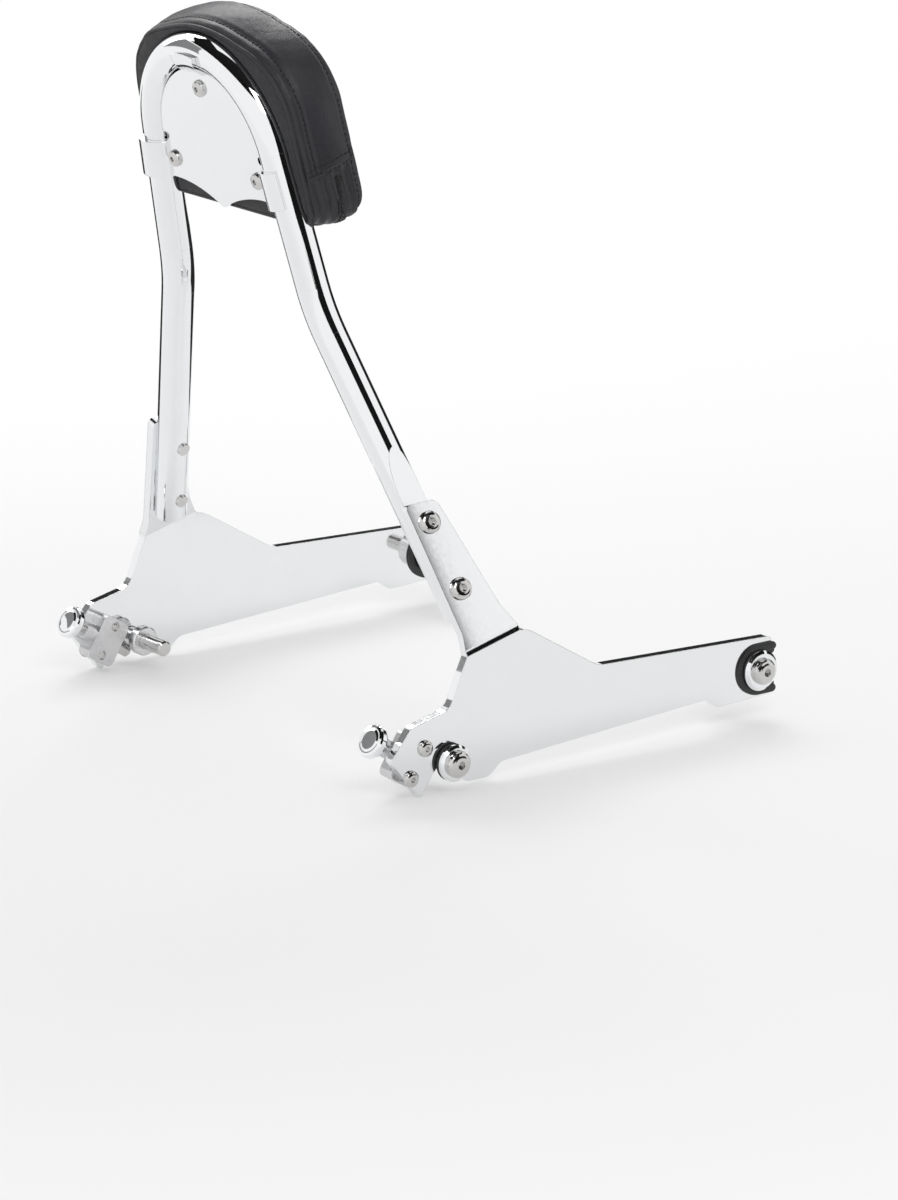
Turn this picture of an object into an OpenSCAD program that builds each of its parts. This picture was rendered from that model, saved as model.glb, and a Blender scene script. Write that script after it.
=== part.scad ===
// Quick-release passenger backrest for a motorcycle with a wide rear mudguard.
// The origin is on the axis of the right rear docking bolt, where its spool seats on the strut.
// +X points to the rider's right, +Y forwards along the bike and +Z up.

/* [Docking] */
// Distance from the middle of the bike to the outer face of a side plate
dock_half = 175; // [150:1:200]
// Distance from the rear docking bolt forwards to the front one
dock_pitch = 240.5; // [225:0.5:260]
// Height of the front docking bolt above the rear one
dock_rise = 14.4; // [8:0.2:20]
// Distance from a side plate's outer face inboard to the strut
dock_standoff = 24; // [22:0.5:30]
// Diameter of the docking bolts
dock_bolt_d = 10; // [8:0.5:11]
// Length of thread that a docking bolt shows past its spool
dock_thread = 22; // [15:1:35]
// Head diameter of the docking bolts
dock_head_d = 17; // [15:0.5:19]
// Neck diameter of the rear spool, which the plate's notch drops over
rear_neck_d = 12; // [11.6:0.1:13]
// Neck diameter of the front spool, which slides in the lined slot
front_neck_d = 16; // [14:0.5:18]
// Diameter of the rear washer and of the rubber ring under it
rear_washer_d = 23; // [21:0.5:25]
// Diameter of the front washer
front_washer_d = 26; // [24:0.5:28]
// Thickness of the docking washers
washer_t = 3.5; // [2.5:0.1:4.5]
// Thickness of the rubber ring under the rear washer
ring_t = 2.8; // [2:0.1:4]

/* [Side plates] */
// Thickness of the side plates
plate_t = 6; // [5:0.5:8]
// Place of the fold between body and leg, forwards of the rear docking bolt
fold_y = 27.6; // [20:0.2:35]
// Height of the fold above the rear docking bolt
fold_z = 68.8; // [62:0.2:75]
// Angle by which the leg and its fold lean back
leg_lean = 14.3; // [8:0.1:20]
// Angle by which the leg folds inboard
leg_splay = 23.4; // [15:0.1:28]
// Inner radius of the fold
fold_r = 5.5; // [3:0.5:10]
// Length of the leg above the fold
leg_len = 96; // [88:1:110]
// Distance of the lower leg bolt above the fold
leg_bolt_low = 37.1; // [30:0.1:45]
// Distance between the two leg bolts
leg_bolt_pitch = 44.2; // [35:0.1:48]
// Diameter of the leg bolts
leg_bolt_d = 8; // [6:0.5:9]
// Head diameter of the leg bolts
leg_head_d = 14; // [12:0.5:16]
// Depth of the arm's open slot, from the front docking bolt to the prongs' ends
slot_reach = 12; // [10:0.5:16]
// Width of the slot in the arm
slot_w = 27; // [25:0.5:28]

/* [Bar] */
// Diameter of the round bar
bar_d = 21; // [19:0.5:23]
// Radius of the arch, to the middle of the bar
arch_r = 62.5; // [56:0.5:66]
// Angle by which the upper legs splay from the arch
upper_splay = 7; // [4:0.1:9]
// Angle by which the arch leans back
arch_lean = 12.6; // [6:0.1:20]
// Length of an upper leg, from the arch to the bend
upper_len = 102; // [90:1:125]
// Radius of the bend between the upper and lower legs
bend_r = 110; // [70:5:160]
// Depth of the flat on the outside of a lower leg
flat_depth = 4; // [2:0.1:4.5]
// Length of the flat's curved run-out
flat_runout = 34; // [25:1:45]
// Distance from the fold up to the end of the bar
bar_end = 20; // [12:1:26]

/* [Insert plate] */
// Thickness of the insert plate and its hooks
insert_t = 3; // [2:0.1:4]
// Distance from the arch's mid-plane back to the plate's rear face
insert_back = 4.8; // [4:0.1:6]
// Height of the side hooks
side_hook_h = 24; // [16:1:30]
// Width of the top hook
top_hook_w = 22; // [14:1:30]
// Angle past the rearmost line at which a side hook ends
hook_past = 42; // [20:1:55]
// Distance of the two lower screws inboard of the bar's middle line
insert_screw_in = 19; // [18.5:0.5:24]
// Drop of the two lower screws below the arch's centre
insert_screw_drop = 13; // [8:0.5:16]
// Distance of the top screw below the bar's middle line
insert_screw_under = 23; // [21:0.5:28]
// Diameter of the insert screws
insert_screw_d = 6; // [5:0.5:6.5]
// Head diameter of the insert screws
insert_head_d = 10.8; // [9:0.1:12]
// Drop of the plate's lower corners below the arch's centre
insert_corner_drop = 26; // [24:0.5:30]
// Drop of the plate's middle point below the arch's centre
insert_tip_drop = 37.5; // [34:0.5:40]

/* [Pad] */
// Distance by which the pad's foot stands out past the bar's middle line
pad_overhang = 23.5; // [21:0.5:32]
// Distance by which the pad stands up past the bar's middle line
pad_rise = 12.5; // [12:0.5:20]
// Drop of the pad's lower edge below the arch's centre
pad_drop = 43; // [42:0.5:48]
// Depth of the pad, from its back panel to the crown
pad_depth = 50; // [42:1:65]
// Rise of the crown above the pad's front seam
pad_crown = 13; // [8:1:20]
// Thickness of the board inside the pad
board_t = 7; // [5:0.5:10]
// Width of the padded rim around the board and the back panel
pad_rim = 9; // [6:0.5:12]

/* [Latch] */
// Angle of the plunger below the horizontal
latch_angle = 32.2; // [25:0.1:40]
// Diameter of the plunger
plunger_d = 8; // [6.5:0.5:8]
// Travel of the plunger
latch_travel = 9; // [7:0.5:9.5]
// Distance from the docking bolt back to the front of the housing
housing_gap = 12; // [11:0.5:14]
// Length of the housing
housing_len = 21; // [21:0.5:24]
// Width of the housing
housing_w = 30; // [28:0.5:34]
// Distance between the housing's two screws
latch_screw_pitch = 20.3; // [19:0.1:22]
// Diameter of the housing's screws
latch_screw_d = 6; // [4:0.5:6]
// Head diameter of the housing's screws
latch_head_d = 10.3; // [8:0.1:12]
// Diameter of the knob
knob_d = 21; // [18:0.5:24]
// Thickness of the knob
knob_t = 8.5; // [6:0.5:11]
// Exposed length of stem between the neck and the knob
stem_show = 5; // [3:0.5:8]
// Length of the neck behind the housing
neck_len = 9; // [8:0.5:12]

/* [Hidden] */
$fn = 64;

// Clearances
fit = 0.05;
seat_gap = 0.3;
eps = 0.01;
// Neighbouring lengths of one piece run into each other, and the bends are that much thicker
lap = 0.6;
lap_d = 0.05;

// Places that follow from the docking sizes
strut_x = dock_half - dock_standoff;
front_bolt = [dock_pitch, dock_rise];
liner_flange_t = 2;
liner_lip = 2.9;
seat_play = 0.6;
rear_seat = dock_half + seat_play + ring_t + washer_t;
front_seat = dock_half + liner_flange_t + seat_play + washer_t;
bar_r = bar_d / 2;
flat_off = bar_r - flat_depth;
fold_out = fold_r + plate_t;
fold_run = fold_out * tan(leg_splay / 2);
// Ends of the fold forwards and rearwards of its middle
fold_front = 25.5;
fold_rear = 15.5;
leg_up = [-sin(leg_splay), -sin(leg_lean) * cos(leg_splay), cos(leg_lean) * cos(leg_splay)];
leg_out = [cos(leg_splay), -sin(leg_lean) * sin(leg_splay), cos(leg_lean) * sin(leg_splay)];

// Middle line of the bar: foot of the lower leg, bend, arch tangent and arch centre
leg_foot = [dock_half, fold_y, fold_z] - (plate_t + flat_off) * leg_out;
arch_up = [0, -sin(arch_lean), cos(arch_lean)];
bend_x = arch_r * cos(upper_splay) + upper_len * sin(upper_splay);
lower_len = (leg_foot[0] - bend_x) / sin(leg_splay);
bend_at = leg_foot + lower_len * leg_up;
bend_drop = upper_len * cos(upper_splay) - arch_r * sin(upper_splay);
arch_at = [0, bend_at[1], bend_at[2]] + bend_drop * arch_up;
tangent_at = arch_at + [arch_r * cos(upper_splay), 0, 0] + arch_r * sin(upper_splay) * arch_up;

// Insert plate and pad, measured from the arch's mid-plane backwards
insert_front = insert_back - insert_t;
insert_r = arch_r - bar_r - seat_gap;
hook_in = bar_r + lap_d + 0.05;
hook_out = hook_in + insert_t;
board_back = -bar_r - 2.5;
pad_w = 2 * (arch_r + pad_overhang);
pad_top = arch_r + pad_rise;
// Corner radii at the foot and the head of the pad, and the amount by which it narrows upwards
pad_foot_r = 14;
pad_head_r = 38;
pad_taper = 8;
// Front face, front seam, rear seam and rear face of the pad, each with its distance in from the edge
pad_front = insert_front - pad_depth;
pad_seam = pad_front + pad_crown;
pad_slices = [[pad_front, 34], [pad_front + pad_crown * 0.12, 24], [pad_front + pad_crown * 0.35, 13],
    [pad_front + pad_crown * 0.68, 4.5], [pad_seam, 0.6], [pad_seam + 3, 0],
    [insert_front - 8, 0], [insert_front - 5, 1], [insert_front - 3.5, 4]];
boss_d = insert_screw_d + 7;
insert_d = insert_screw_d + 4;
insert_len = insert_front - board_back + board_t - 1;
insert_screw_x = arch_r - insert_screw_in;
insert_screw_rise = arch_r - insert_screw_under;
insert_xy = [[0, insert_screw_rise], [-insert_screw_x, -insert_screw_drop], [insert_screw_x, -insert_screw_drop]];

// Latch
latch_x = dock_half - plate_t - plunger_d / 2 - 2;
housing_t = 2 * (dock_half - plate_t - latch_x);
latch_drop = rear_neck_d / 2 + plunger_d / 2 + 0.4;
stem_d = 5;
spring_d = plunger_d + 1.2;
spring_wire = 1;
neck_d = housing_t - 0.4;
flange_t = 2;
guide_len = 5;
neck_wall = 3;
chamber_len = housing_len + neck_len - guide_len - neck_wall;
spring_len = chamber_len - flange_t - 0.2;

// Outline points of the side plate as [forwards, up, corner radius], from the rear docking bolt
notch_r = rear_neck_d / 2 + 0.4;
slot_r = slot_w / 2;
arm_end = dock_pitch + slot_reach;

function fold_point(along) = [fold_y + along * cos(leg_lean) + (fold_run - lap) * sin(leg_lean),
    fold_z + along * sin(leg_lean) - (fold_run - lap) * cos(leg_lean), 0];

body_points = concat([
    fold_point(-fold_rear),
    [8.6, 54, 14],
    [-0.5, 32.6, 11],
    [-29.5, 26.2, 7],
    [-45, 8, 3],
    [-22.8, -19.2, 1.6],
    [-13.4, -5.5, 2]],
    [for (a = [160:-20:0]) [notch_r * cos(a), notch_r * sin(a), 0]], [
    [notch_r, -9.5, 2],
    [11.5, -15, 5],
    [29, -15.4, 9],
    [38.5, -7.2, 9],
    [dock_pitch - 39.5, 1.9, 5],
    [dock_pitch - 32.5, -4.9, 7],
    [arm_end, dock_rise - slot_r - 4.2, 3],
    [arm_end, dock_rise + slot_r + 6.4, 4.5],
    [dock_pitch - 127, 40, 14],
    [59.5, 72.6, 16],
    fold_point(fold_front)]);

// Outline of the leg in its own plane as [forwards, up, corner radius], from the fold
leg_points = [
    [-fold_rear, fold_run - lap, 0],
    [-12.6, fold_run + 9, 12],
    [-11, leg_len + 1, 3.5],
    [10.8, leg_len - 3.5, 6],
    [13.2, leg_len - 22, 20],
    [20, fold_run + 16, 24],
    [fold_front, fold_run - lap, 0]];

function unit(v) = v / norm(v);
// Corner p between a and b, rounded to radius r, as a list of points
function corner(a, p, b, r) =
    let (u = unit(a - p), v = unit(b - p), half = acos(u * v) / 2,
         reach = min(r / tan(half), 0.49 * min(norm(a - p), norm(b - p))),
         rr = reach * tan(half), mid = p + unit(u + v) * rr / sin(half),
         s = p + u * reach - mid, e = p + v * reach - mid, turn = 180 - 2 * half,
         sgn = (s[0] * e[1] - s[1] * e[0]) > 0 ? 1 : -1, n = max(2, ceil(turn / 15)))
    [for (i = [0:n]) let (t = sgn * turn * i / n)
        mid + [s[0] * cos(t) - s[1] * sin(t), s[0] * sin(t) + s[1] * cos(t)]];
// Closed outline through points that each carry a corner radius
function outline(pts) = [for (i = [0:len(pts) - 1])
    let (n = len(pts), a = pts[(i + n - 1) % n], p = pts[i], b = pts[(i + 1) % n])
    each (p[2] > 0 ? corner([a[0], a[1]], [p[0], p[1]], [b[0], b[1]], p[2]) : [[p[0], p[1]]])];

// Everything is drawn about the middle of the bike and moved to the origin at the end
module placed() { translate([-strut_x, 0, 0]) children(); }
module left_hand() { mirror([1, 0, 0]) children(); }
// Local x outwards, y along the fold, z up the plate before the fold
module fold_frame() { translate([dock_half, fold_y, fold_z]) rotate([leg_lean, 0, 0]) children(); }
// Local x out of the leg's outer face, z up the leg
module leg_frame() { fold_frame() rotate([0, -leg_splay, 0]) children(); }
// Local x to the right, y up the arch, z backwards out of its mid-plane
module arch_frame() { translate(arch_at) rotate([90 + arch_lean, 0, 0]) children(); }
// Local x along the plunger towards the docking bolt, y outboard, z up across it
module latch_frame() {
    translate([latch_x, 0, 0]) rotate([-latch_angle, 0, 0]) translate([0, 0, -latch_drop])
        rotate([0, 0, 90]) children();
}
// Extrudes an outline in the plane of the side plate, from the outer face inboard
module plate_slab(points, t) {
    rotate([90, 0, 90]) translate([0, 0, -t]) linear_extrude(height = t) polygon(outline(points));
}
module along_x(d, from, to) { translate([from, 0, 0]) rotate([0, 90, 0]) cylinder(d = d, h = to - from); }

// Button-head screw on the x axis: the head stands out of x = 0 and the shank runs to -length
module button_screw(d, head_d, length) {
    head_h = head_d * 0.27;
    rim_h = head_h * 0.28;
    face_r = head_d * 0.2;
    dome = [for (i = [0:6]) let (t = 15 * i)
        [face_r + (head_d / 2 - face_r) * cos(t), rim_h + (head_h - rim_h) * sin(t)]];
    rotate([0, 90, 0]) difference() {
        rotate_extrude() polygon(concat([[0, -length], [d / 2, -length], [d / 2, 0], [head_d / 2, 0]],
            dome, [[0, head_h]]));
        translate([0, 0, head_h - head_d * 0.16]) cylinder(d = d * 0.62, h = head_h, $fn = 6);
    }
}
// Chamfered washer on the x axis from x = 0 to x = t
module chamfered_washer(d, bore, t, chamfer) {
    rotate([0, 90, 0]) rotate_extrude() polygon([[bore / 2, 0], [d / 2, 0], [d / 2, t - chamfer],
        [d / 2 - chamfer, t], [bore / 2, t]]);
}

// Straight round bar between two points
module rod(p, q, d) {
    v = q - p;
    translate(p) rotate([0, acos(v[2] / norm(v)), atan2(v[1], v[0])]) cylinder(d = d, h = norm(v));
}
// Quarter or less of a ring of round bar: it starts at p, heads along u and turns towards w
module elbow(p, u, w, r, angle, d) {
    radial = unit(w - (w * u) * u);
    c = p + radial * r;
    e3 = cross(-radial, u);
    multmatrix([[-radial[0], u[0], e3[0], c[0]], [-radial[1], u[1], e3[1], c[1]],
        [-radial[2], u[2], e3[2], c[2]], [0, 0, 0, 1]])
        rotate_extrude(angle = angle) translate([r, 0]) circle(d = d, $fn = 48);
}
// One leg of the bar, from its foot up to the arch
module bar_leg(d) {
    up_dir = unit(tangent_at - bend_at);
    turn = acos(leg_up * up_dir);
    cut = bend_r * tan(turn / 2);
    rod(leg_foot + bar_end * leg_up, bend_at - (cut - lap) * leg_up, d);
    elbow(bend_at - cut * leg_up, leg_up, up_dir, bend_r, turn, d + lap_d);
    rod(bend_at + (cut - lap) * up_dir, tangent_at + lap * up_dir, d);
}
module bar_arch(d) {
    arch_frame() rotate([0, 0, upper_splay])
        rotate_extrude(angle = 180 - 2 * upper_splay) translate([arch_r, 0]) circle(d = d + lap_d, $fn = 48);
}
module bar_body(d) {
    bar_arch(d);
    bar_leg(d);
    left_hand() bar_leg(d);
}
// Flat on the outside of a lower leg, with a run-out of large radius at its top
module leg_flat() {
    runout_r = flat_runout * flat_runout / (2 * flat_depth) + flat_depth / 2;
    leg_frame() {
        translate([-plate_t, -bar_d, 0]) cube([bar_d, 2 * bar_d, leg_len + 2]);
        intersection() {
            translate([-plate_t + runout_r, bar_d, leg_len + 2 - eps]) rotate([90, 0, 0])
                cylinder(r = runout_r, h = 2 * bar_d, $fn = 360);
            translate([-plate_t - eps, -bar_d, leg_len]) cube([bar_d, 2 * bar_d, flat_runout + 4]);
        }
    }
}
module leg_bolt_places() {
    leg_frame() for (i = [0, 1]) translate([0, 0, leg_bolt_low + i * leg_bolt_pitch]) children();
}
module sissy_bar() {
    color("gainsboro") difference() {
        bar_body(bar_d);
        for (side = [0, 1]) mirror([side, 0, 0]) {
            leg_flat();
            leg_bolt_places() along_x(leg_bolt_d + 2 * fit, -bar_d - plate_t - 10, 1);
        }
    }
}

// Body, fold and leg of one side plate, with its notch, slot and screw holes
module side_plate() {
    color("silver") difference() {
        union() {
            translate([dock_half, 0, 0]) plate_slab(body_points, plate_t);
            fold_frame() translate([-fold_out, 0, -fold_run]) rotate([90, 0, 0])
                translate([0, 0, -fold_front]) rotate_extrude(angle = leg_splay)
                translate([fold_r - lap_d, -lap_d]) square([plate_t + 2 * lap_d, fold_front + fold_rear + 2 * lap_d]);
            leg_frame() plate_slab(leg_points, plate_t);
        }
        rotate([90, 0, 90]) translate([0, 0, dock_half - plate_t - 1])
            linear_extrude(height = plate_t + 2) slot_shape(slot_r, slot_reach + 5);
        leg_bolt_places() along_x(leg_bolt_d + 0.6, -plate_t - 1, 1);
        latch_screw_places() along_x(latch_screw_d + 0.4, -plate_t - 1, 1);
    }
}
module plate_bolts() {
    color("darkgray") leg_bolt_places()
        button_screw(leg_bolt_d, leg_head_d, plate_t + flat_off + bar_r + 1.5);
}

// Shield-shaped plate inside the arch, with one hook over the top and one over each leg
module insert_outline() {
    side = (insert_r + eps) / cos(upper_splay);
    low = side + insert_corner_drop * tan(upper_splay);
    scallop_r = 95;
    dx = low - 1.5;
    dy = insert_tip_drop - insert_corner_drop;
    half_chord = sqrt(dx * dx + dy * dy) / 2;
    sag = sqrt(scallop_r * scallop_r - half_chord * half_chord);
    chord = [dx, dy] / (2 * half_chord);
    cx = 1.5 / 2 + low / 2 + chord[1] * sag;
    cy = -(insert_tip_drop + insert_corner_drop) / 2 - chord[0] * sag;
    difference() {
        union() {
            circle(r = insert_r, $fn = 120);
            polygon([[insert_r * cos(upper_splay), insert_r * sin(upper_splay)],
                [-insert_r * cos(upper_splay), insert_r * sin(upper_splay)],
                [-low, -insert_corner_drop], [-1.5, -insert_tip_drop],
                [1.5, -insert_tip_drop], [low, -insert_corner_drop]]);
        }
        for (side_x = [-1, 1]) translate([side_x * cx, cy]) circle(r = scallop_r, $fn = 240);
        translate([-arch_r, -2 * arch_r - insert_tip_drop]) square([2 * arch_r, 2 * arch_r]);
    }
}
// Section of a hook round the bar, from the plate's face to an angle past the rearmost line
module hook_section(past) {
    reach = 3 * hook_out;
    wedge = [[0, 0], [-reach, insert_front * reach / hook_in], [-reach, reach], [0, reach],
        [reach * sin(past), reach * cos(past)]];
    intersection() {
        difference() {
            circle(r = hook_out, $fn = 72);
            circle(r = hook_in, $fn = 72);
        }
        polygon(wedge);
    }
}
module side_hook() {
    translate([arch_r * cos(upper_splay), arch_r * sin(upper_splay), 0]) rotate([90, 0, upper_splay])
        translate([0, 0, arch_r * sin(upper_splay) + 2]) linear_extrude(height = side_hook_h)
        hook_section(hook_past);
}
module top_hook() {
    half = asin(top_hook_w / 2 / arch_r);
    rotate([0, 0, 90 - half]) rotate_extrude(angle = 2 * half, $fn = 180) translate([arch_r, 0]) hook_section(8);
}
module insert_screw_places() {
    for (p = insert_xy) translate([p[0], p[1], insert_back]) rotate([0, -90, 0]) children();
}
module insert_plate() {
    color("gainsboro") arch_frame() difference() {
        union() {
            translate([0, 0, insert_front]) linear_extrude(height = insert_t) insert_outline();
            side_hook();
            mirror([1, 0, 0]) side_hook();
            top_hook();
        }
        insert_screw_places() along_x(insert_screw_d + 0.6, -insert_t - 1, 1);
        for (side = [0, 1]) mirror([side, 0, 0]) translate([insert_r - 1.5, 0.8, insert_front - 1])
            cylinder(d = 5, h = insert_t + 2);
    }
}
// Room for the bar in the frame of the arch
module bar_room(r) {
    rotate([0, 0, upper_splay]) rotate_extrude(angle = 180 - 2 * upper_splay, $fn = 180)
        translate([arch_r, 0]) circle(r = r + lap_d, $fn = 72);
    for (side = [0, 1]) mirror([side, 0, 0])
        translate([arch_r * cos(upper_splay), arch_r * sin(upper_splay), 0])
        rotate([90, 0, upper_splay]) translate([0, 0, -lap]) cylinder(r = r, h = upper_len, $fn = 72);
}
module insert_screws() {
    color("darkgray") arch_frame() insert_screw_places()
        button_screw(insert_screw_d, insert_head_d, insert_back - board_back + board_t - 1);
}

// Outline of the pad in the arch frame, drawn in from its edge by inset
function pad_outline(inset) = let (w = pad_w / 2 - inset, low = -pad_drop + inset, top = pad_top - inset)
    outline([[-w, low, pad_foot_r - inset / 4], [w, low, pad_foot_r - inset / 4],
        [w - pad_taper, top, pad_head_r - inset / 4], [-(w - pad_taper), top, pad_head_r - inset / 4]]);
module pad_slab(inset, from, to) {
    translate([0, 0, from]) linear_extrude(height = to - from) polygon(pad_outline(inset));
}
// Solid through slices of the pad, each given as [place, inset]
module pad_loft(slices) {
    n = len(pad_outline(0));
    last = len(slices) - 1;
    points = [for (s = slices) each [for (p = pad_outline(s[1])) [p[0], p[1], s[0]]]];
    walls = [for (i = [0:last - 1]) for (j = [0:n - 1]) let (k = (j + 1) % n)
        [i * n + j, (i + 1) * n + j, (i + 1) * n + k, i * n + k]];
    polyhedron(points, concat(walls, [[for (j = [0:n - 1]) j], [for (j = [n - 1:-1:0]) last * n + j]]));
}
module pad_cushion() {
    color("dimgray") arch_frame() difference() {
        pad_loft(pad_slices);
        pad_slab(pad_rim, board_back - board_t, insert_front + 1);
        bar_room(bar_r + seat_gap);
    }
}
module pad_back_panel() {
    color("dimgray") arch_frame() difference() {
        pad_slab(pad_rim + seat_gap, board_back + 0.1, insert_front - 0.1);
        bar_room(bar_r + seat_gap);
        for (p = insert_xy) translate([p[0], p[1], board_back - 1])
            cylinder(d = boss_d + 2 * seat_gap, h = insert_front - board_back + 2);
    }
}
// Moulded board with a boss behind each screw
module pad_board() {
    color("dimgray") arch_frame() difference() {
        union() {
            pad_slab(pad_rim + seat_gap, board_back - board_t + seat_gap, board_back);
            for (p = insert_xy) translate([p[0], p[1], board_back - eps])
                cylinder(d = boss_d, h = insert_front - board_back + eps);
        }
        for (p = insert_xy) translate([p[0], p[1], board_back - board_t])
            cylinder(d = insert_d, h = insert_len + 5);
    }
}
// Threaded inserts pressed into the board's bosses
module pad_inserts() {
    color("goldenrod") arch_frame() for (p = insert_xy) translate([p[0], p[1], board_back - board_t + seat_gap])
        difference() {
            cylinder(d = insert_d - 2 * fit, h = insert_len);
            translate([0, 0, -1]) cylinder(d = insert_screw_d + 2 * fit, h = insert_len + 2);
        }
}

module latch_screw_places() {
    latch_frame() for (side = [-1, 1])
        translate([-housing_gap - housing_len / 2, latch_x - dock_half, side * latch_screw_pitch / 2])
        rotate([0, 0, -90]) children();
}
// Block with a neck, bored for the plunger, the spring and the stem
module latch_housing() {
    back = -housing_gap - housing_len;
    color("silver") difference() {
        union() {
            latch_frame() plunger_block(back);
            latch_frame() along_x(neck_d, back - neck_len, back + 1);
        }
        latch_frame() {
            along_x(plunger_d + 2 * fit, -housing_gap - guide_len - 1, -housing_gap + 1);
            along_x(spring_d + 0.6, -housing_gap - guide_len - chamber_len, -housing_gap - guide_len);
            along_x(stem_d + 2 * fit, back - neck_len - 1, back);
        }
        latch_screw_places() along_x(latch_screw_d + 2 * fit, -housing_t - plate_t - 1, 1);
    }
}
module plunger_block(back) {
    corner_r = 4;
    translate([back, housing_t / 2, 0]) rotate([90, 0, 0]) linear_extrude(height = housing_t)
        polygon(outline([[0, -housing_w / 2, corner_r], [housing_len, -housing_w / 2, corner_r],
            [housing_len, housing_w / 2, corner_r], [0, housing_w / 2, corner_r]]));
}
module latch_plunger() {
    back = -housing_gap - housing_len - neck_len;
    flange_at = -housing_gap - guide_len - flange_t - 0.1;
    nose = 2;
    color("gainsboro") latch_frame() {
        translate([flange_at, 0, 0]) rotate([0, 90, 0]) rotate_extrude() polygon([[0, 0], [spring_d / 2, 0],
            [spring_d / 2, flange_t], [plunger_d / 2, flange_t], [plunger_d / 2, -flange_at - nose],
            [plunger_d / 2 - nose, -flange_at], [0, -flange_at]]);
        along_x(stem_d, back - stem_show - knob_t + 2, flange_at + eps);
    }
}
// Return spring, swept round its helix
module latch_spring() {
    turns = 6;
    per_turn = 14;
    sides = 6;
    steps = turns * per_turn;
    coil_r = (spring_d - spring_wire) / 2;
    start = -housing_gap - guide_len - chamber_len + 0.1 + spring_wire / 2;
    run = spring_len - spring_wire - 0.2;
    rings = [for (i = [0:steps]) for (j = [0:sides - 1])
        let (a = 360 * i / per_turn, b = 360 * j / sides, r = coil_r + spring_wire / 2 * cos(b))
        [start + run * i / steps + spring_wire / 2 * sin(b), r * cos(a), r * sin(a)]];
    walls = [for (i = [0:steps - 1]) for (j = [0:sides - 1]) let (k = (j + 1) % sides)
        [i * sides + j, i * sides + k, (i + 1) * sides + k, (i + 1) * sides + j]];
    ends = [[for (j = [sides - 1:-1:0]) j], [for (j = [0:sides - 1]) steps * sides + j]];
    color("darkgray") latch_frame() polyhedron(rings, concat(walls, ends));
}
// Pull knob with a hollow rim round its domed face
module latch_knob() {
    front = -housing_gap - housing_len - neck_len - stem_show;
    color("gainsboro") latch_frame() translate([front, 0, 0]) rotate([0, -90, 0]) difference() {
        rotate_extrude() polygon([[0, 0], [knob_d / 2 - 3, 0], [knob_d / 2 - 1, 1.6], [knob_d / 2 - 0.2, 3],
            [knob_d / 2, knob_t - 2.4], [knob_d / 2 - 0.6, knob_t - 1.2], [knob_d / 2 - 2.2, knob_t - 0.8],
            [knob_d / 2 - 3, knob_t - 0.9], [knob_d / 2 - 4.5, knob_t - 0.35], [0, knob_t]]);
        translate([0, 0, -1]) cylinder(d = stem_d + 2 * fit, h = knob_t - 1);
    }
}
module latch_screws() {
    color("darkgray") latch_screw_places()
        button_screw(latch_screw_d, latch_head_d, plate_t + housing_t - 1.5);
}

// Docking bolt with a plain neck through its spool and a thread past the strut's face
module dock_bolt(seat) {
    tip = 1;
    translate([seat, 0, 0]) button_screw(dock_bolt_d - 1, dock_head_d, seat - strut_x + 1);
    translate([strut_x - dock_thread, 0, 0]) rotate([0, 90, 0]) rotate_extrude() polygon([[0, 0],
        [dock_bolt_d / 2 - tip, 0], [dock_bolt_d / 2, tip], [dock_bolt_d / 2, dock_thread], [0, dock_thread]]);
}
module dock_bolts() {
    color("darkgray") {
        dock_bolt(rear_seat);
        translate([0, front_bolt[0], front_bolt[1]]) dock_bolt(front_seat);
    }
}
module dock_washers() {
    bore = dock_bolt_d + 2 * fit;
    color("gainsboro") {
        translate([rear_seat - washer_t, 0, 0]) chamfered_washer(rear_washer_d, bore, washer_t, 1.6);
        translate([front_seat - washer_t, front_bolt[0], front_bolt[1]])
            chamfered_washer(front_washer_d, bore, washer_t, 1.8);
    }
}
// Turned spools: a collar against the strut and a neck through the plate
module spool(neck, collar, collar_end, neck_end) {
    rotate([0, 90, 0]) rotate_extrude() polygon([[dock_bolt_d / 2 + fit, 0], [collar / 2 - 0.8, 0],
        [collar / 2, 0.8], [collar / 2, collar_end - 0.8], [collar / 2 - 0.8, collar_end],
        [neck / 2, collar_end], [neck / 2, neck_end], [dock_bolt_d / 2 + fit, neck_end]]);
}
module dock_spools() {
    color("silver") translate([strut_x, 0, 0]) {
        spool(rear_neck_d, rear_neck_d + 7, latch_x - strut_x - plunger_d / 2 - 1.5,
            rear_seat - washer_t - ring_t - strut_x);
        translate([0, front_bolt[0], front_bolt[1]])
            spool(front_neck_d, front_neck_d + 7, dock_half - plate_t - liner_flange_t - 0.5 - strut_x,
                front_seat - washer_t - strut_x);
    }
}
module dock_rings() {
    color("dimgray") translate([rear_seat - washer_t - ring_t, 0, 0]) rotate([0, 90, 0]) rotate_extrude()
        polygon([[dock_bolt_d / 2 + fit, 0], [rear_washer_d / 2 - 0.5, 0], [rear_washer_d / 2, 0.5],
            [rear_washer_d / 2, ring_t - 0.5], [rear_washer_d / 2 - 0.5, ring_t], [dock_bolt_d / 2 + fit, ring_t]]);
}
// Outline of the slot round the front spool, open to the front at the distance end
module slot_shape(r, end) {
    translate([dock_pitch, dock_rise]) difference() {
        union() {
            circle(r = r + lap_d);
            translate([0, -r]) square([end, 2 * r]);
        }
        translate([end, -2 * r]) square(4 * r);
    }
}
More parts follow.
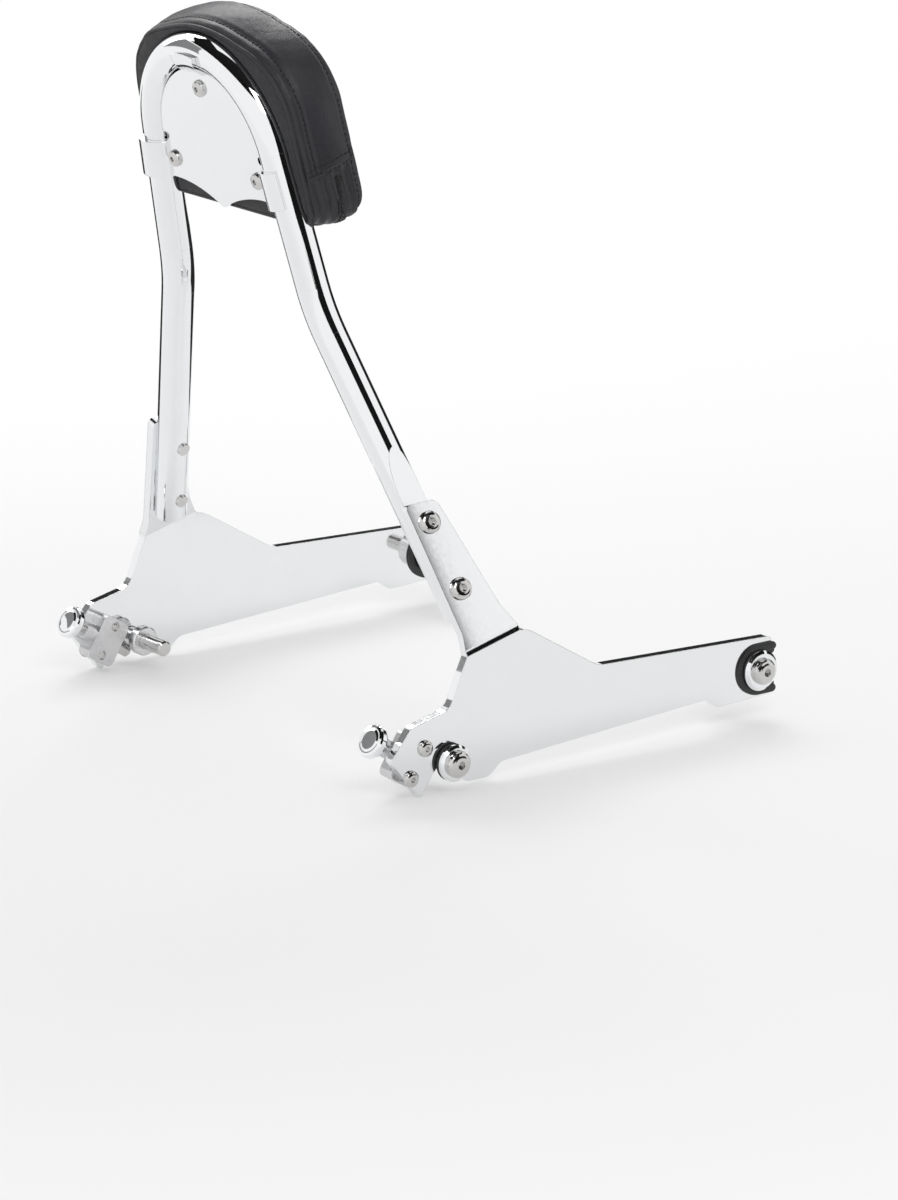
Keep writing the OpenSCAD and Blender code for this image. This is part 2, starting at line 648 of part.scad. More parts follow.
// Channel that lines the slot, with a flange over each face of the plate
module slot_liner() {
    end = slot_reach + 2;
    depth = plate_t + 2 * liner_flange_t;
    color("dimgray") rotate([90, 0, 90]) translate([0, 0, dock_half - plate_t - liner_flange_t]) difference() {
        linear_extrude(height = depth) slot_shape(slot_r + liner_lip, end);
        translate([0, 0, -1]) linear_extrude(height = depth + 2)
            slot_shape(front_neck_d / 2 + seat_gap, end + 1);
        translate([0, 0, liner_flange_t]) linear_extrude(height = plate_t) difference() {
            slot_shape(slot_r + liner_lip + 2, end + 1);
            slot_shape(slot_r - fit, end + 2);
        }
    }
}

placed() sissy_bar();
placed() side_plate();  // side_plate_right
placed() left_hand() side_plate();  // side_plate_left
placed() plate_bolts();  // plate_bolts_right
placed() left_hand() plate_bolts();  // plate_bolts_left
placed() insert_plate();
placed() insert_screws();
placed() pad_cushion();
placed() pad_back_panel();
placed() pad_board();
placed() pad_inserts();
placed() latch_housing();  // latch_housing_right
placed() left_hand() latch_housing();  // latch_housing_left
placed() latch_plunger();  // latch_plunger_right
placed() left_hand() latch_plunger();  // latch_plunger_left
placed() latch_spring();  // latch_spring_right
placed() left_hand() latch_spring();  // latch_spring_left
placed() latch_knob();  // latch_knob_right
placed() left_hand() latch_knob();  // latch_knob_left
placed() latch_screws();  // latch_screws_right
placed() left_hand() latch_screws();  // latch_screws_left
placed() dock_bolts();  // dock_bolts_right
placed() left_hand() dock_bolts();  // dock_bolts_left
placed() dock_washers();  // dock_washers_right
placed() left_hand() dock_washers();  // dock_washers_left
placed() dock_spools();  // dock_spools_right
placed() left_hand() dock_spools();  // dock_spools_left
placed() dock_rings();  // dock_rings_right
placed() left_hand() dock_rings();  // dock_rings_left
placed() slot_liner();  // slot_liner_right
placed() left_hand() slot_liner();  // slot_liner_left
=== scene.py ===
"""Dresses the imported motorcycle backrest: chromed hardware, a sewn vinyl pad and a plain studio."""

import logging
import math
from dataclasses import dataclass, field
from enum import Enum
from typing import Sequence

import bmesh
import bpy
import numpy as np
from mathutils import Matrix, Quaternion, Vector
from mathutils.bvhtree import BVHTree


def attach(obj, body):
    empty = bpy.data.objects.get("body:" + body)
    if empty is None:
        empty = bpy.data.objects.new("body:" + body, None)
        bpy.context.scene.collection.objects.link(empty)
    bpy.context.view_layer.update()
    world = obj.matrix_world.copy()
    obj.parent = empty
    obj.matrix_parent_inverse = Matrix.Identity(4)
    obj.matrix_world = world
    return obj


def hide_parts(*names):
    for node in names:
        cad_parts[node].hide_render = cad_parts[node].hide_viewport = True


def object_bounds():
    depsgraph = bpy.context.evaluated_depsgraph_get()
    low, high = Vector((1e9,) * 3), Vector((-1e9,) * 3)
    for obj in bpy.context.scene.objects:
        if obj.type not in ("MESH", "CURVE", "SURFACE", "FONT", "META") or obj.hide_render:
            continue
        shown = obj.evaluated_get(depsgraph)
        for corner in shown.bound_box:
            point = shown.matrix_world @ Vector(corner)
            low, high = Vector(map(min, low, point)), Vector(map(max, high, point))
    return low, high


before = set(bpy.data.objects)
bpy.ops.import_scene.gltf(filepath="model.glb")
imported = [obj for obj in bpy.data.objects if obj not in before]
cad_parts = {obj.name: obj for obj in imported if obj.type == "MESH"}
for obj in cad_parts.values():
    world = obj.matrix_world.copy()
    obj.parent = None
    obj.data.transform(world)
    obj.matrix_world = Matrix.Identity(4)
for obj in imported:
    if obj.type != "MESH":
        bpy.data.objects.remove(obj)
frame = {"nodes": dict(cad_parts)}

LOG = logging.getLogger("backrest")
MM = 0.001
CAD_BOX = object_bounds()
ARCH_MIDDLE = (-151.0, -42.433, 354.794)
ARCH_LEAN = math.radians(12.6)
FLOOR_DROP = 0.0005
TINT_SPAN = (0.3, 0.7)
LEAST_BUMP = 0.0000015


class Side(Enum):
    """The rider's two sides, with the sign of x on each."""

    RIGHT = 1.0
    LEFT = -1.0


class Coord(Enum):
    """The coordinates that a pattern is laid on."""

    OBJECT = "Object"
    UV = "UV"


# Finishes


class NodeSheet:
    """A material's nodes, with short calls to add and join them."""

    def __init__(self, name: str) -> None:
        """Makes an empty material that holds one shader and its output."""
        self.material: bpy.types.Material = bpy.data.materials.new(name)
        self.material.use_nodes = True
        self.tree: bpy.types.NodeTree = self.material.node_tree
        self.tree.nodes.clear()
        self.output = self.add("ShaderNodeOutputMaterial")
        self.shader = self.add("ShaderNodeBsdfPrincipled")
        self.join(self.shader, "BSDF", self.output, "Surface")

    def add(self, kind: str, **settings: object) -> bpy.types.Node:
        """Adds a node.

        Args:
            kind: Blender's name of the node.
            settings: attributes to set on it.

        Returns:
            The new node.
        """
        node = self.tree.nodes.new(kind)
        for key, value in settings.items():
            setattr(node, key, value)
        return node

    def join(self, a: bpy.types.Node, out: str | int, b: bpy.types.Node, into: str | int) -> None:
        """Joins an output of one node to an input of another."""
        self.tree.links.new(a.outputs[out], b.inputs[into])

    def coordinates(self, source: Coord, scale: Sequence[float]) -> bpy.types.Node:
        """Lays out a pattern's coordinates.

        Args:
            source: object or UV coordinates.
            scale: how often the pattern repeats along each axis.

        Returns:
            The mapping node, whose Vector output carries them.
        """
        places = self.add("ShaderNodeTexCoord")
        mapping = self.add("ShaderNodeMapping")
        mapping.inputs["Scale"].default_value = tuple(scale)
        self.join(places, source.value, mapping, "Vector")
        return mapping

    def noise(self, mapping: bpy.types.Node, scale: float, detail: float,
              roughness: float = 0.5) -> bpy.types.Node:
        """Adds a noise of the given scale and detail on a mapping."""
        node = self.add("ShaderNodeTexNoise")
        node.inputs["Scale"].default_value = scale
        node.inputs["Detail"].default_value = detail
        node.inputs["Roughness"].default_value = roughness
        self.join(mapping, "Vector", node, "Vector")
        return node

    def between(self, source: bpy.types.Node, out: str, low: float, high: float,
                from_low: float = 0.0, from_high: float = 1.0) -> bpy.types.Node:
        """Maps a value from one span to another, kept inside it."""
        node = self.add("ShaderNodeMapRange")
        node.inputs["From Min"].default_value = from_low
        node.inputs["From Max"].default_value = from_high
        node.inputs["To Min"].default_value = low
        node.inputs["To Max"].default_value = high
        self.join(source, out, node, "Value")
        return node

    def tint(self, source: bpy.types.Node, out: str, low: Sequence[float], high: Sequence[float]) -> None:
        """Colours the shader between two colours by a value.

        Args:
            source: the node that gives the value.
            out: its output.
            low: the colour at 0.
            high: the colour at 1.
        """
        ramp = self.add("ShaderNodeValToRGB")
        for place, (colour, at) in enumerate(zip((low, high), TINT_SPAN)):
            ramp.color_ramp.elements[place].color = (*colour, 1.0)
            ramp.color_ramp.elements[place].position = at
        self.join(source, out, ramp, "Fac")
        self.join(ramp, "Color", self.shader, "Base Color")

    def bump(self, source: bpy.types.Node, out: str, depth: float, strength: float = 1.0,
             under: bpy.types.Node | None = None) -> bpy.types.Node:
        """Raises the surface by a height.

        Args:
            source: the node that gives the height.
            out: its output.
            depth: the height in metres that 1 stands for.
            strength: share of it that shows.
            under: a bump that this one lies on.

        Returns:
            The bump node.
        """
        node = self.add("ShaderNodeBump")
        node.inputs["Distance"].default_value = depth
        node.inputs["Strength"].default_value = strength
        self.join(source, out, node, "Height")
        if under is not None:
            self.join(under, "Normal", node, "Normal")
        return node

    def constants(self, **values: float | tuple) -> None:
        """Sets the shader's own sockets, named with _ for a space."""
        for key, value in values.items():
            self.shader.inputs[key.replace("_", " ")].default_value = value


@dataclass(frozen=True)
class MetalFinish:
    """Plated or bare metal, with fine polishing lines and a slightly uneven gloss."""

    name: str
    bright: tuple[float, float, float]
    dull: tuple[float, float, float]
    gloss: tuple[float, float]
    line_scale: tuple[float, float, float] = (40.0, 40.0, 900.0)
    line_depth: float = 0.0
    edge: float = 0.00035

    def build(self) -> bpy.types.Material:
        """Makes the material: tint and roughness by noise, softened edges and a bump of fine lines."""
        sheet = NodeSheet(self.name)
        sheet.constants(Metallic=1.0)
        broad = sheet.noise(sheet.coordinates(Coord.OBJECT, (1.0, 1.0, 1.0)), 38.0, 4.0, 0.6)
        sheet.tint(broad, "Fac", self.dull, self.bright)
        fine = sheet.noise(sheet.coordinates(Coord.OBJECT, (1.0, 1.0, 1.0)), 420.0, 3.0, 0.6)
        gloss = sheet.between(fine, "Fac", self.gloss[0], self.gloss[1], 0.3, 0.75)
        sheet.join(gloss, "Result", sheet.shader, "Roughness")
        softened = sheet.add("ShaderNodeBevel", samples=4)
        softened.inputs["Radius"].default_value = self.edge
        lines = sheet.noise(sheet.coordinates(Coord.OBJECT, self.line_scale), 1.0, 2.0, 0.5)
        bump = sheet.bump(lines, "Fac", max(self.line_depth, LEAST_BUMP), 1.0, softened)
        sheet.join(bump, "Normal", sheet.shader, "Normal")
        return sheet.material


@dataclass(frozen=True)
class VinylFinish:
    """Grained vinyl: small pebbles with creases between them, over a soft unevenness."""

    name: str
    low: tuple[float, float, float]
    high: tuple[float, float, float]
    rough: tuple[float, float]
    pebble: float = 1250.0
    pebble_depth: float = 0.00009
    wave_depth: float = 0.0007
    sheen: float = 0.04

    def build(self) -> bpy.types.Material:
        """Makes the material: the colour and gloss vary by noise, and three chained bumps raise waves, grain
        and pebbles.
        """
        sheet = NodeSheet(self.name)
        sheet.constants(Sheen_Weight=self.sheen, Sheen_Roughness=0.55, Specular_IOR_Level=0.36)
        flat = sheet.coordinates(Coord.OBJECT, (1.0, 1.0, 1.0))
        warp = sheet.noise(flat, 260.0, 3.0, 0.6)
        cells = sheet.add("ShaderNodeTexVoronoi", feature="F1")
        cells.inputs["Scale"].default_value = self.pebble
        cells.inputs["Randomness"].default_value = 0.9
        sheet.join(flat, "Vector", cells, "Vector")
        broad = sheet.noise(flat, 30.0, 5.0, 0.55)
        sheet.tint(broad, "Fac", self.low, self.high)
        gloss = sheet.between(warp, "Fac", self.rough[0], self.rough[1], 0.3, 0.7)
        sheet.join(gloss, "Result", sheet.shader, "Roughness")
        wave = sheet.bump(sheet.noise(flat, 75.0, 4.0, 0.55), "Fac", self.wave_depth, 0.6)
        grain = sheet.bump(warp, "Fac", self.pebble_depth * 1.6, 0.8, wave)
        pebbles = sheet.bump(cells, "Distance", self.pebble_depth, 1.0, grain)
        sheet.join(pebbles, "Normal", sheet.shader, "Normal")
        return sheet.material


@dataclass(frozen=True)
class PlainFinish:
    """Moulded rubber or plastic, or thread: one colour that varies a little, and a fine texture."""

    name: str
    low: tuple[float, float, float]
    high: tuple[float, float, float]
    rough: tuple[float, float]
    scale: float = 700.0
    depth: float = 0.00006
    coat: float = 0.0

    def build(self) -> bpy.types.Material:
        """Makes the material: tint, roughness and bump all come from one noise."""
        sheet = NodeSheet(self.name)
        sheet.constants(Coat_Weight=self.coat, Coat_Roughness=0.2)
        flat = sheet.coordinates(Coord.OBJECT, (1.0, 1.0, 1.0))
        grain = sheet.noise(flat, self.scale, 4.0, 0.6)
        sheet.tint(sheet.noise(flat, self.scale * 0.08, 3.0), "Fac", self.low, self.high)
        gloss = sheet.between(grain, "Fac", self.rough[0], self.rough[1], 0.3, 0.7)
        sheet.join(gloss, "Result", sheet.shader, "Roughness")
        bump = sheet.bump(grain, "Fac", self.depth)
        sheet.join(bump, "Normal", sheet.shader, "Normal")
        return sheet.material


CHROME = MetalFinish("bright_chrome", (0.88, 0.89, 0.90), (0.86, 0.87, 0.885), (0.03, 0.055))
PLATE_CHROME = MetalFinish("plate_chrome", (0.87, 0.88, 0.89), (0.855, 0.865, 0.875), (0.05, 0.085),
                           edge=0.0007)
POLISHED_STEEL = MetalFinish("polished_steel", (0.66, 0.65, 0.64), (0.57, 0.565, 0.56), (0.10, 0.17))
TURNED_METAL = MetalFinish("turned_metal", (0.76, 0.76, 0.77), (0.68, 0.68, 0.69), (0.22, 0.36),
                           (2600.0, 30.0, 30.0), 0.00004)
SATIN_METAL = MetalFinish("satin_metal", (0.74, 0.74, 0.75), (0.62, 0.62, 0.63), (0.26, 0.42),
                          (300.0, 40.0, 1800.0), 0.00004)
SPRING_STEEL = MetalFinish("spring_wire", (0.62, 0.62, 0.62), (0.5, 0.5, 0.5), (0.18, 0.3))
BRASS = MetalFinish("turned_brass", (0.83, 0.66, 0.33), (0.72, 0.55, 0.25), (0.2, 0.34))
PAD_VINYL = VinylFinish("pad_vinyl", (0.027, 0.0255, 0.031), (0.039, 0.037, 0.0445), (0.36, 0.46))
REAR_VINYL = VinylFinish("rear_vinyl", (0.034, 0.034, 0.037), (0.046, 0.046, 0.05), (0.55, 0.68))
THREAD = PlainFinish("dark_thread", (0.008, 0.008, 0.009), (0.016, 0.016, 0.018), (0.45, 0.6),
                     2600.0, 0.00008)
RUBBER = PlainFinish("ring_rubber", (0.012, 0.012, 0.012), (0.022, 0.022, 0.022), (0.55, 0.7))
PLASTIC = PlainFinish("liner_plastic", (0.014, 0.014, 0.015), (0.024, 0.024, 0.026), (0.38, 0.5),
                      900.0, 0.00005, 0.1)
ZIP_TEETH = PlainFinish("zip_teeth", (0.012, 0.012, 0.013), (0.02, 0.02, 0.022), (0.25, 0.35),
                        800.0, 0.00003, 0.2)


# Meshes and frames


def make_mesh(name: str, points: np.ndarray, quads: np.ndarray,
              finish: bpy.types.Material | None) -> bpy.types.Object:
    """Puts whole arrays of points and faces into a smooth mesh at the origin.

    Args:
        name: the piece's name.
        points: N x 3 places in metres.
        quads: M x 3 or M x 4 rows of point numbers.
        finish: its material.

    Returns:
        The new object.
    """
    mesh = bpy.data.meshes.new(name)
    corners = quads.shape[1]
    mesh.vertices.add(len(points))
    mesh.vertices.foreach_set("co", np.ascontiguousarray(points, dtype=np.float32).ravel())
    mesh.loops.add(quads.size)
    mesh.loops.foreach_set("vertex_index", np.ascontiguousarray(quads, dtype=np.int32).ravel())
    mesh.polygons.add(len(quads))
    mesh.polygons.foreach_set("loop_start", np.arange(0, quads.size, corners, dtype=np.int32))
    mesh.update(calc_edges=True)
    mesh.validate()
    mesh.polygons.foreach_set("use_smooth", np.ones(len(mesh.polygons), dtype=bool))
    thing = bpy.data.objects.new(name, mesh)
    bpy.context.scene.collection.objects.link(thing)
    if finish is not None:
        mesh.materials.append(finish)
    return thing


def outwards(thing: bpy.types.Object) -> None:
    """Merges an object's doubles and turns its faces outwards."""
    work = bmesh.new()
    work.from_mesh(thing.data)
    bmesh.ops.remove_doubles(work, verts=work.verts, dist=1e-7)
    bmesh.ops.recalc_face_normals(work, faces=work.faces)
    work.to_mesh(thing.data)
    work.free()


def grid_quads(rows: int, columns: int, loop: bool) -> np.ndarray:
    """Numbers the faces of a grid of points.

    Args:
        rows: number of rows of points.
        columns: number of points in a row.
        loop: whether each row closes on itself.

    Returns:
        M x 4 rows of point numbers.
    """
    across = columns if loop else columns - 1
    i, j = np.meshgrid(np.arange(rows - 1), np.arange(across), indexing="ij")
    k = (j + 1) % columns
    near, far = i * columns, (i + 1) * columns
    return np.stack([near + j, near + k, far + k, far + j], -1).reshape(-1, 4)


def unit(v: np.ndarray) -> np.ndarray:
    """Scales each row to length 1."""
    return v / np.maximum(np.linalg.norm(v, axis=-1, keepdims=True), 1e-12)


def tube(path: np.ndarray, normals: np.ndarray, section: np.ndarray) -> tuple[np.ndarray, np.ndarray]:
    """Carries a flat section along an open path: each point is path + a * normal + b * (tangent x normal).

    The two ends stay open.

    Args:
        path: N x 3 places.
        normals: N x 3 outward directions at them.
        section: K x 2 places as (along the normal, across it).

    Returns:
        The points and the faces.
    """
    tangent = unit(np.gradient(path, axis=0))
    up = unit(normals - tangent * np.sum(normals * tangent, 1, keepdims=True))
    across = np.cross(tangent, up)
    points = path[:, None] + section[None, :, :1] * up[:, None] + section[None, :, 1:] * across[:, None]
    return points.reshape(-1, 3), grid_quads(len(path), len(section), True)


@dataclass(frozen=True)
class ArchFrame:
    """Frame of the arch: x to the right, s up the arch and z rearwards out of its middle plane, in mm."""

    middle: tuple[float, float, float]
    lean: float

    def to_world(self, local: np.ndarray) -> np.ndarray:
        """Turns N x 3 local mm into metres in the part's frame."""
        c, s = math.cos(self.lean), math.sin(self.lean)
        x, y, z = local[..., 0], local[..., 1], local[..., 2]
        turned = np.stack([x, -s * y - c * z, c * y - s * z], -1)
        return (turned + np.array(self.middle)) * MM

    def to_local(self, world: np.ndarray) -> np.ndarray:
        """Turns N x 3 metres in the part's frame into local mm."""
        c, s = math.cos(self.lean), math.sin(self.lean)
        p = world / MM - np.array(self.middle)
        return np.stack([p[..., 0], -s * p[..., 1] + c * p[..., 2], -c * p[..., 1] - s * p[..., 2]], -1)


@dataclass(frozen=True)
class PadOutline:
    """Closed outline of the pad: straight foot and sides under a crowned head with wide shoulders."""

    foot_half: float = 88.5
    shoulder_half: float = 84.0
    foot: float = -44.5
    shoulder: float = 62.5
    peak: float = 86.0
    foot_r: float = 14.0
    shoulder_r: float = 50.0
    crown_r: float = 120.0
    foot_tighten: float = 0.25
    shoulder_tighten: float = 0.8
    shoulder_draw: float = 0.7
    peak_draw: float = 1.05

    def ring(self, inset: float, count: int) -> np.ndarray:
        """Works out the outline at some distance in from the edge.

        Each corner is an arc that touches both sides, and the whole is spaced evenly by length.

        Args:
            inset: distance in from the edge in mm.
            count: number of points.

        Returns:
            count x 2 places, from the middle of the foot towards the right.
        """
        low, foot, wide = self.foot + inset, self.foot_half - inset, self.shoulder_half - inset
        shoulder = self.shoulder - inset * self.shoulder_draw
        corners = np.array([[foot, low], [wide, shoulder], [0.0, self.peak - inset * self.peak_draw],
                            [-wide, shoulder], [-foot, low]])
        radii = [max(self.foot_r - inset * self.foot_tighten, 3.0),
                 max(self.shoulder_r - inset * self.shoulder_tighten, 8.0), max(self.crown_r - inset, 20.0)]
        points = [np.array([[0.0, low]])]
        for i, (p, r) in enumerate(zip(corners, radii + radii[1::-1])):
            a = unit(corners[i - 1] - p)
            b = unit(corners[(i + 1) % len(corners)] - p)
            half = math.acos(float(np.dot(a, b))) / 2
            middle = p + unit(a + b) * r / math.sin(half)
            start = p + a * r / math.tan(half) - middle
            turn = np.linspace(0.0, math.pi - 2 * half, 24)
            points.append(np.stack([middle[0] + start[0] * np.cos(turn) - start[1] * np.sin(turn),
                                    middle[1] + start[0] * np.sin(turn) + start[1] * np.cos(turn)], -1))
        dense = np.concatenate(points + [np.array([[0.0, low]])])
        run = np.concatenate([[0.0], np.cumsum(np.linalg.norm(np.diff(dense, axis=0), axis=1))])
        at = np.linspace(0.0, run[-1], count, endpoint=False)
        return np.stack([np.interp(at, run, dense[:, 0]), np.interp(at, run, dense[:, 1])], -1)

    def side_x(self, s: np.ndarray) -> np.ndarray:
        """Gives the half-width at a height on the straight part of a side."""
        return np.interp(s, [self.foot, self.shoulder], [self.foot_half, self.shoulder_half])

    def loop(self, inset: float, z: float, count: int) -> np.ndarray:
        """Gives the outline as a closed path at one depth."""
        return np.column_stack([self.ring(inset, count), np.full(count, z)])


def bar_distance(local: np.ndarray, arch_r: float, splay: float) -> tuple[np.ndarray, np.ndarray]:
    """Finds the nearest place on the middle line of the bar, an arc that runs on as two straight legs.

    Args:
        local: N x 3 places in the arch's frame.
        arch_r: radius of the arch.
        splay: angle in radians by which the legs splay.

    Returns:
        The N x 3 nearest places and the N distances.
    """
    x, s = np.abs(local[:, 0]), local[:, 1]
    angle = np.arctan2(s, x)
    on_arc = np.stack([arch_r * np.cos(angle), arch_r * np.sin(angle)], -1)
    start = np.array([arch_r * math.cos(splay), arch_r * math.sin(splay)])
    along = np.array([math.sin(splay), -math.cos(splay)])
    reach = np.maximum((x - start[0]) * along[0] + (s - start[1]) * along[1], 0.0)
    on_leg = start + reach[:, None] * along
    near = np.where((angle > splay)[:, None], on_arc, on_leg)
    place = np.column_stack([near[:, 0] * np.where(local[:, 0] < 0, -1.0, 1.0), near[:, 1], np.zeros(len(x))])
    return place, np.linalg.norm(local - place, axis=1)


def path_distance(points: np.ndarray, path: np.ndarray) -> np.ndarray:
    """Distance from each point to the nearest point of a dense path, worked out in blocks."""
    blocks = [np.sqrt(((block[:, None] - path[None]) ** 2).sum(-1).min(1))
              for block in np.array_split(points, max(1, len(points) // 3000))]
    return np.concatenate(blocks)


# The pad


@dataclass
class Pad:
    """The sewn vinyl pad: cushion, piping, stitched seams, corner flaps and the zip round its foot."""

    arch: ArchFrame
    outline: PadOutline = field(default_factory=PadOutline)
    rear_z: float = -2.4
    seam_z: float = -37.5
    crown_z: float = -49.5
    rear_stitch: float = 8.0
    flap_s: float = -9.0
    flap_climb: float = 3.5
    flap_thick: float = 1.2
    side_from: float = 60.0
    fold_pitch: float = 7.4
    fold_height: float = 0.95
    fold_sink: float = 0.4
    piping_r: float = 1.25
    stitch_half: float = 1.2
    stitch_r: float = 0.5
    zip_from_rear: float = 20.5
    tooth_pitch: float = 1.3
    tooth: tuple[float, float, float] = (0.85, 1.15, 0.7)
    puff_limit: float = 6.0
    puff_share: float = 0.55
    bar_r: float = 10.5
    bar_room: float = 0.45
    arch_r: float = 62.5
    splay: float = math.radians(7.0)
    groove_lip: float = 2.4
    around: int = 220
    pieces: list[bpy.types.Object] = field(default_factory=list)
    thread: bpy.types.Material | None = field(default=None, init=False)
    vinyl: bpy.types.Material | None = field(default=None, init=False)

    def profile(self) -> np.ndarray:
        """Gives the pad's rings as (z, inset), from the middle of its back over the side to the front."""
        z, seam, crown = self.rear_z, self.seam_z, self.crown_z
        deep = crown - seam
        return np.array([
            [z + 2.6, 38.0], [z + 2.5, 24.0], [z + 2.2, 14.0], [z + 1.6, 8.0], [z + 0.6, 5.0], [z - 0.8, 3.8],
            [z - 3.0, 3.2], [z - 8.0, 2.0], [z - 14.0, 0.8], [(z + seam) / 2, 0.0], [seam + 8.0, 0.0],
            [seam + 3.0, 0.5], [seam, 1.4], [seam + deep * 0.28, 3.6], [seam + deep * 0.52, 8.5],
            [seam + deep * 0.74, 16.0], [seam + deep * 0.90, 26.0], [crown, 38.0]])

    def shell(self) -> tuple[np.ndarray, np.ndarray]:
        """Builds the closed start shape: rings of the outline along the profile, and a fan at each end.

        Returns:
            The points in local mm and the triangles.
        """
        rings = np.stack([self.outline.loop(inset, z, self.around) for z, inset in self.profile()])
        rows, count = rings.shape[:2]
        points = rings.reshape(-1, 3)
        quads = grid_quads(rows, count, True)
        sides = np.concatenate([quads[:, [0, 1, 2]], quads[:, [0, 2, 3]]])
        ends = np.array([[0.0, 16.0, self.rear_z + 2.6], [0.0, 16.0, self.crown_z - 1.2]])
        j = np.arange(count)
        k = (j + 1) % count
        last = (rows - 1) * count
        back = np.stack([np.full(count, len(points)), k, j], -1)
        front = np.stack([np.full(count, len(points) + 1), last + j, last + k], -1)
        return np.concatenate([points, ends]), np.concatenate([sides, back, front])

    def puff(self, thing: bpy.types.Object) -> None:
        """Swells the shell as cloth under pressure and keeps the share of it that foam allows."""
        cloth = thing.modifiers.new("stuffing", "CLOTH")
        cloth.settings.use_pressure = True
        cloth.settings.uniform_pressure_force = 4.0
        cloth.settings.quality = 5
        cloth.settings.mass = 0.3
        cloth.settings.tension_stiffness = 15.0
        cloth.settings.compression_stiffness = 15.0
        cloth.settings.bending_stiffness = 1.0
        cloth.settings.effector_weights.gravity = 0.0
        cloth.collision_settings.use_collision = False
        scene = bpy.context.scene
        for at in range(1, 21):
            scene.frame_set(at)
        seen = thing.evaluated_get(bpy.context.evaluated_depsgraph_get()).to_mesh()
        swollen = np.empty(len(seen.vertices) * 3, dtype=np.float32)
        seen.vertices.foreach_get("co", swollen)
        swollen = swollen.reshape(-1, 3).astype(float)
        thing.modifiers.remove(cloth)
        scene.frame_set(1)
        rest = read_points(thing)
        shift = swollen - rest
        far = np.linalg.norm(shift, axis=1, keepdims=True)
        shift *= np.minimum(1.0, self.puff_limit * MM / np.maximum(far, 1e-9))
        local = self.arch.to_local(rest)
        free = np.clip((self.rear_z - 6.0 - local[:, 2]) / 14.0, 0.0, 1.0)
        kept = shift * (self.puff_share * free)[:, None]
        write_points(thing, rest + kept)
        LOG.info("cushion: the cloth moved by up to %.1f mm, and up to %.1f mm of it is kept",
                 float(far.max()) / MM, float(np.linalg.norm(kept, axis=1).max()) / MM)

    def seams(self) -> list[tuple[np.ndarray, float, float]]:
        """Lists the sewn lines as (path in local mm, depth, width) of the groove that each one pulls in."""
        full = 700
        rear = self.outline.loop(4.0, self.rear_z - 0.4, full)
        second = self.open_loop(self.rear_z - self.rear_stitch)
        front = self.outline.loop(1.2, self.seam_z, full)
        lines = [(rear, 0.7, 1.6), (second, 0.7, 1.6), (front, 1.1, 2.0)]
        for side in Side:
            lines.append((self.flap_line(side, 0.0), 0.9, 1.3))
            lines.append((self.flap_line(side, 5.0), 0.6, 1.5))
        return lines

    def open_loop(self, z: float, lift: float = 0.0) -> np.ndarray:
        """Gives the outline's path over the head, from flap to flap, at one depth."""
        ring = self.outline.ring(2.0 - lift, 900)
        order = np.roll(ring, -1, 0)
        kept = order[order[:, 1] > self.flap_s + 4.0]
        return np.column_stack([kept, np.full(len(kept), z)])

    def flap_line(self, side: Side, rise: float) -> np.ndarray:
        """Gives the flap's edge across one side of the pad: it climbs a little towards the front.

        Args:
            side: which side of the pad.
            rise: distance above the flap's edge.

        Returns:
            The path in local mm.
        """
        z = np.linspace(self.rear_z - 1.0, self.seam_z - 1.0, 60)
        share = (z - z[0]) / (z[-1] - z[0])
        s = self.flap_s + rise + self.flap_climb * share
        return np.column_stack([side.value * self.outline.side_x(s), s, z])

    def sew(self, thing: bpy.types.Object) -> None:
        """Presses the seams in, lays the flaps over the lower band and gathers that band into folds."""
        points = read_points(thing)
        local = self.arch.to_local(points)
        normals = self.arch.to_local(points + read_normals(thing) * MM) - local
        moved = np.zeros(len(local))
        for path, depth, width in self.seams():
            near = path_distance(local, path)
            moved -= depth * np.exp(-(near / width) ** 2)
            moved += 0.25 * depth * np.exp(-((near - 3.2) / 1.8) ** 2)
        moved += self.flap_step(local) + self.gathers(local)
        local = local + normals * moved[:, None]
        local = self.clear_bar(local)
        write_points(thing, self.arch.to_world(local))

    def flap_height(self, local: np.ndarray) -> np.ndarray:
        """Height of each point above the flap's edge, which climbs towards the front."""
        share = np.clip((self.rear_z - 1.0 - local[:, 2]) / (self.rear_z - self.seam_z), 0.0, 1.0)
        return local[:, 1] - (self.flap_s + self.flap_climb * share)

    def band(self, local: np.ndarray) -> np.ndarray:
        """Share by which each point lies on the band between the rear and the front seam."""
        z = local[:, 2]
        return np.clip((self.rear_z - 1.5 - z) / 2.0, 0, 1) * np.clip((z - self.seam_z - 1.5) / 2.0, 0, 1)

    def flap_step(self, local: np.ndarray) -> np.ndarray:
        """Thickness of the flap: a step at its edge that thins out from 4 to 24 mm above it."""
        rise = self.flap_height(local)
        step = np.clip((rise + 0.4) / 0.8, 0, 1) * np.clip((24.0 - rise) / 20.0, 0, 1)
        return self.flap_thick * step * self.band(local) * (np.abs(local[:, 0]) > self.side_from)

    def gathers(self, local: np.ndarray) -> np.ndarray:
        """Folds of the band under the flap: waves across its depth that die out towards the foot."""
        z, rise = local[:, 2], self.flap_height(local)
        over_foot = np.clip((local[:, 1] - self.outline.foot + 3.0) / 14.0, 0, 1)
        under = np.clip((-rise - 0.6) / 3.0, 0, 1) * over_foot
        slant = 2 * np.pi * (z + 0.05 * local[:, 1]) / self.fold_pitch
        wave = np.sin(slant + 0.8 * np.sin(local[:, 1] / 7.0))
        sharp = np.sign(wave) * np.abs(wave) ** 0.7
        folds = self.fold_height * sharp - self.fold_sink
        return folds * under * self.band(local) * (np.abs(local[:, 0]) > self.side_from)

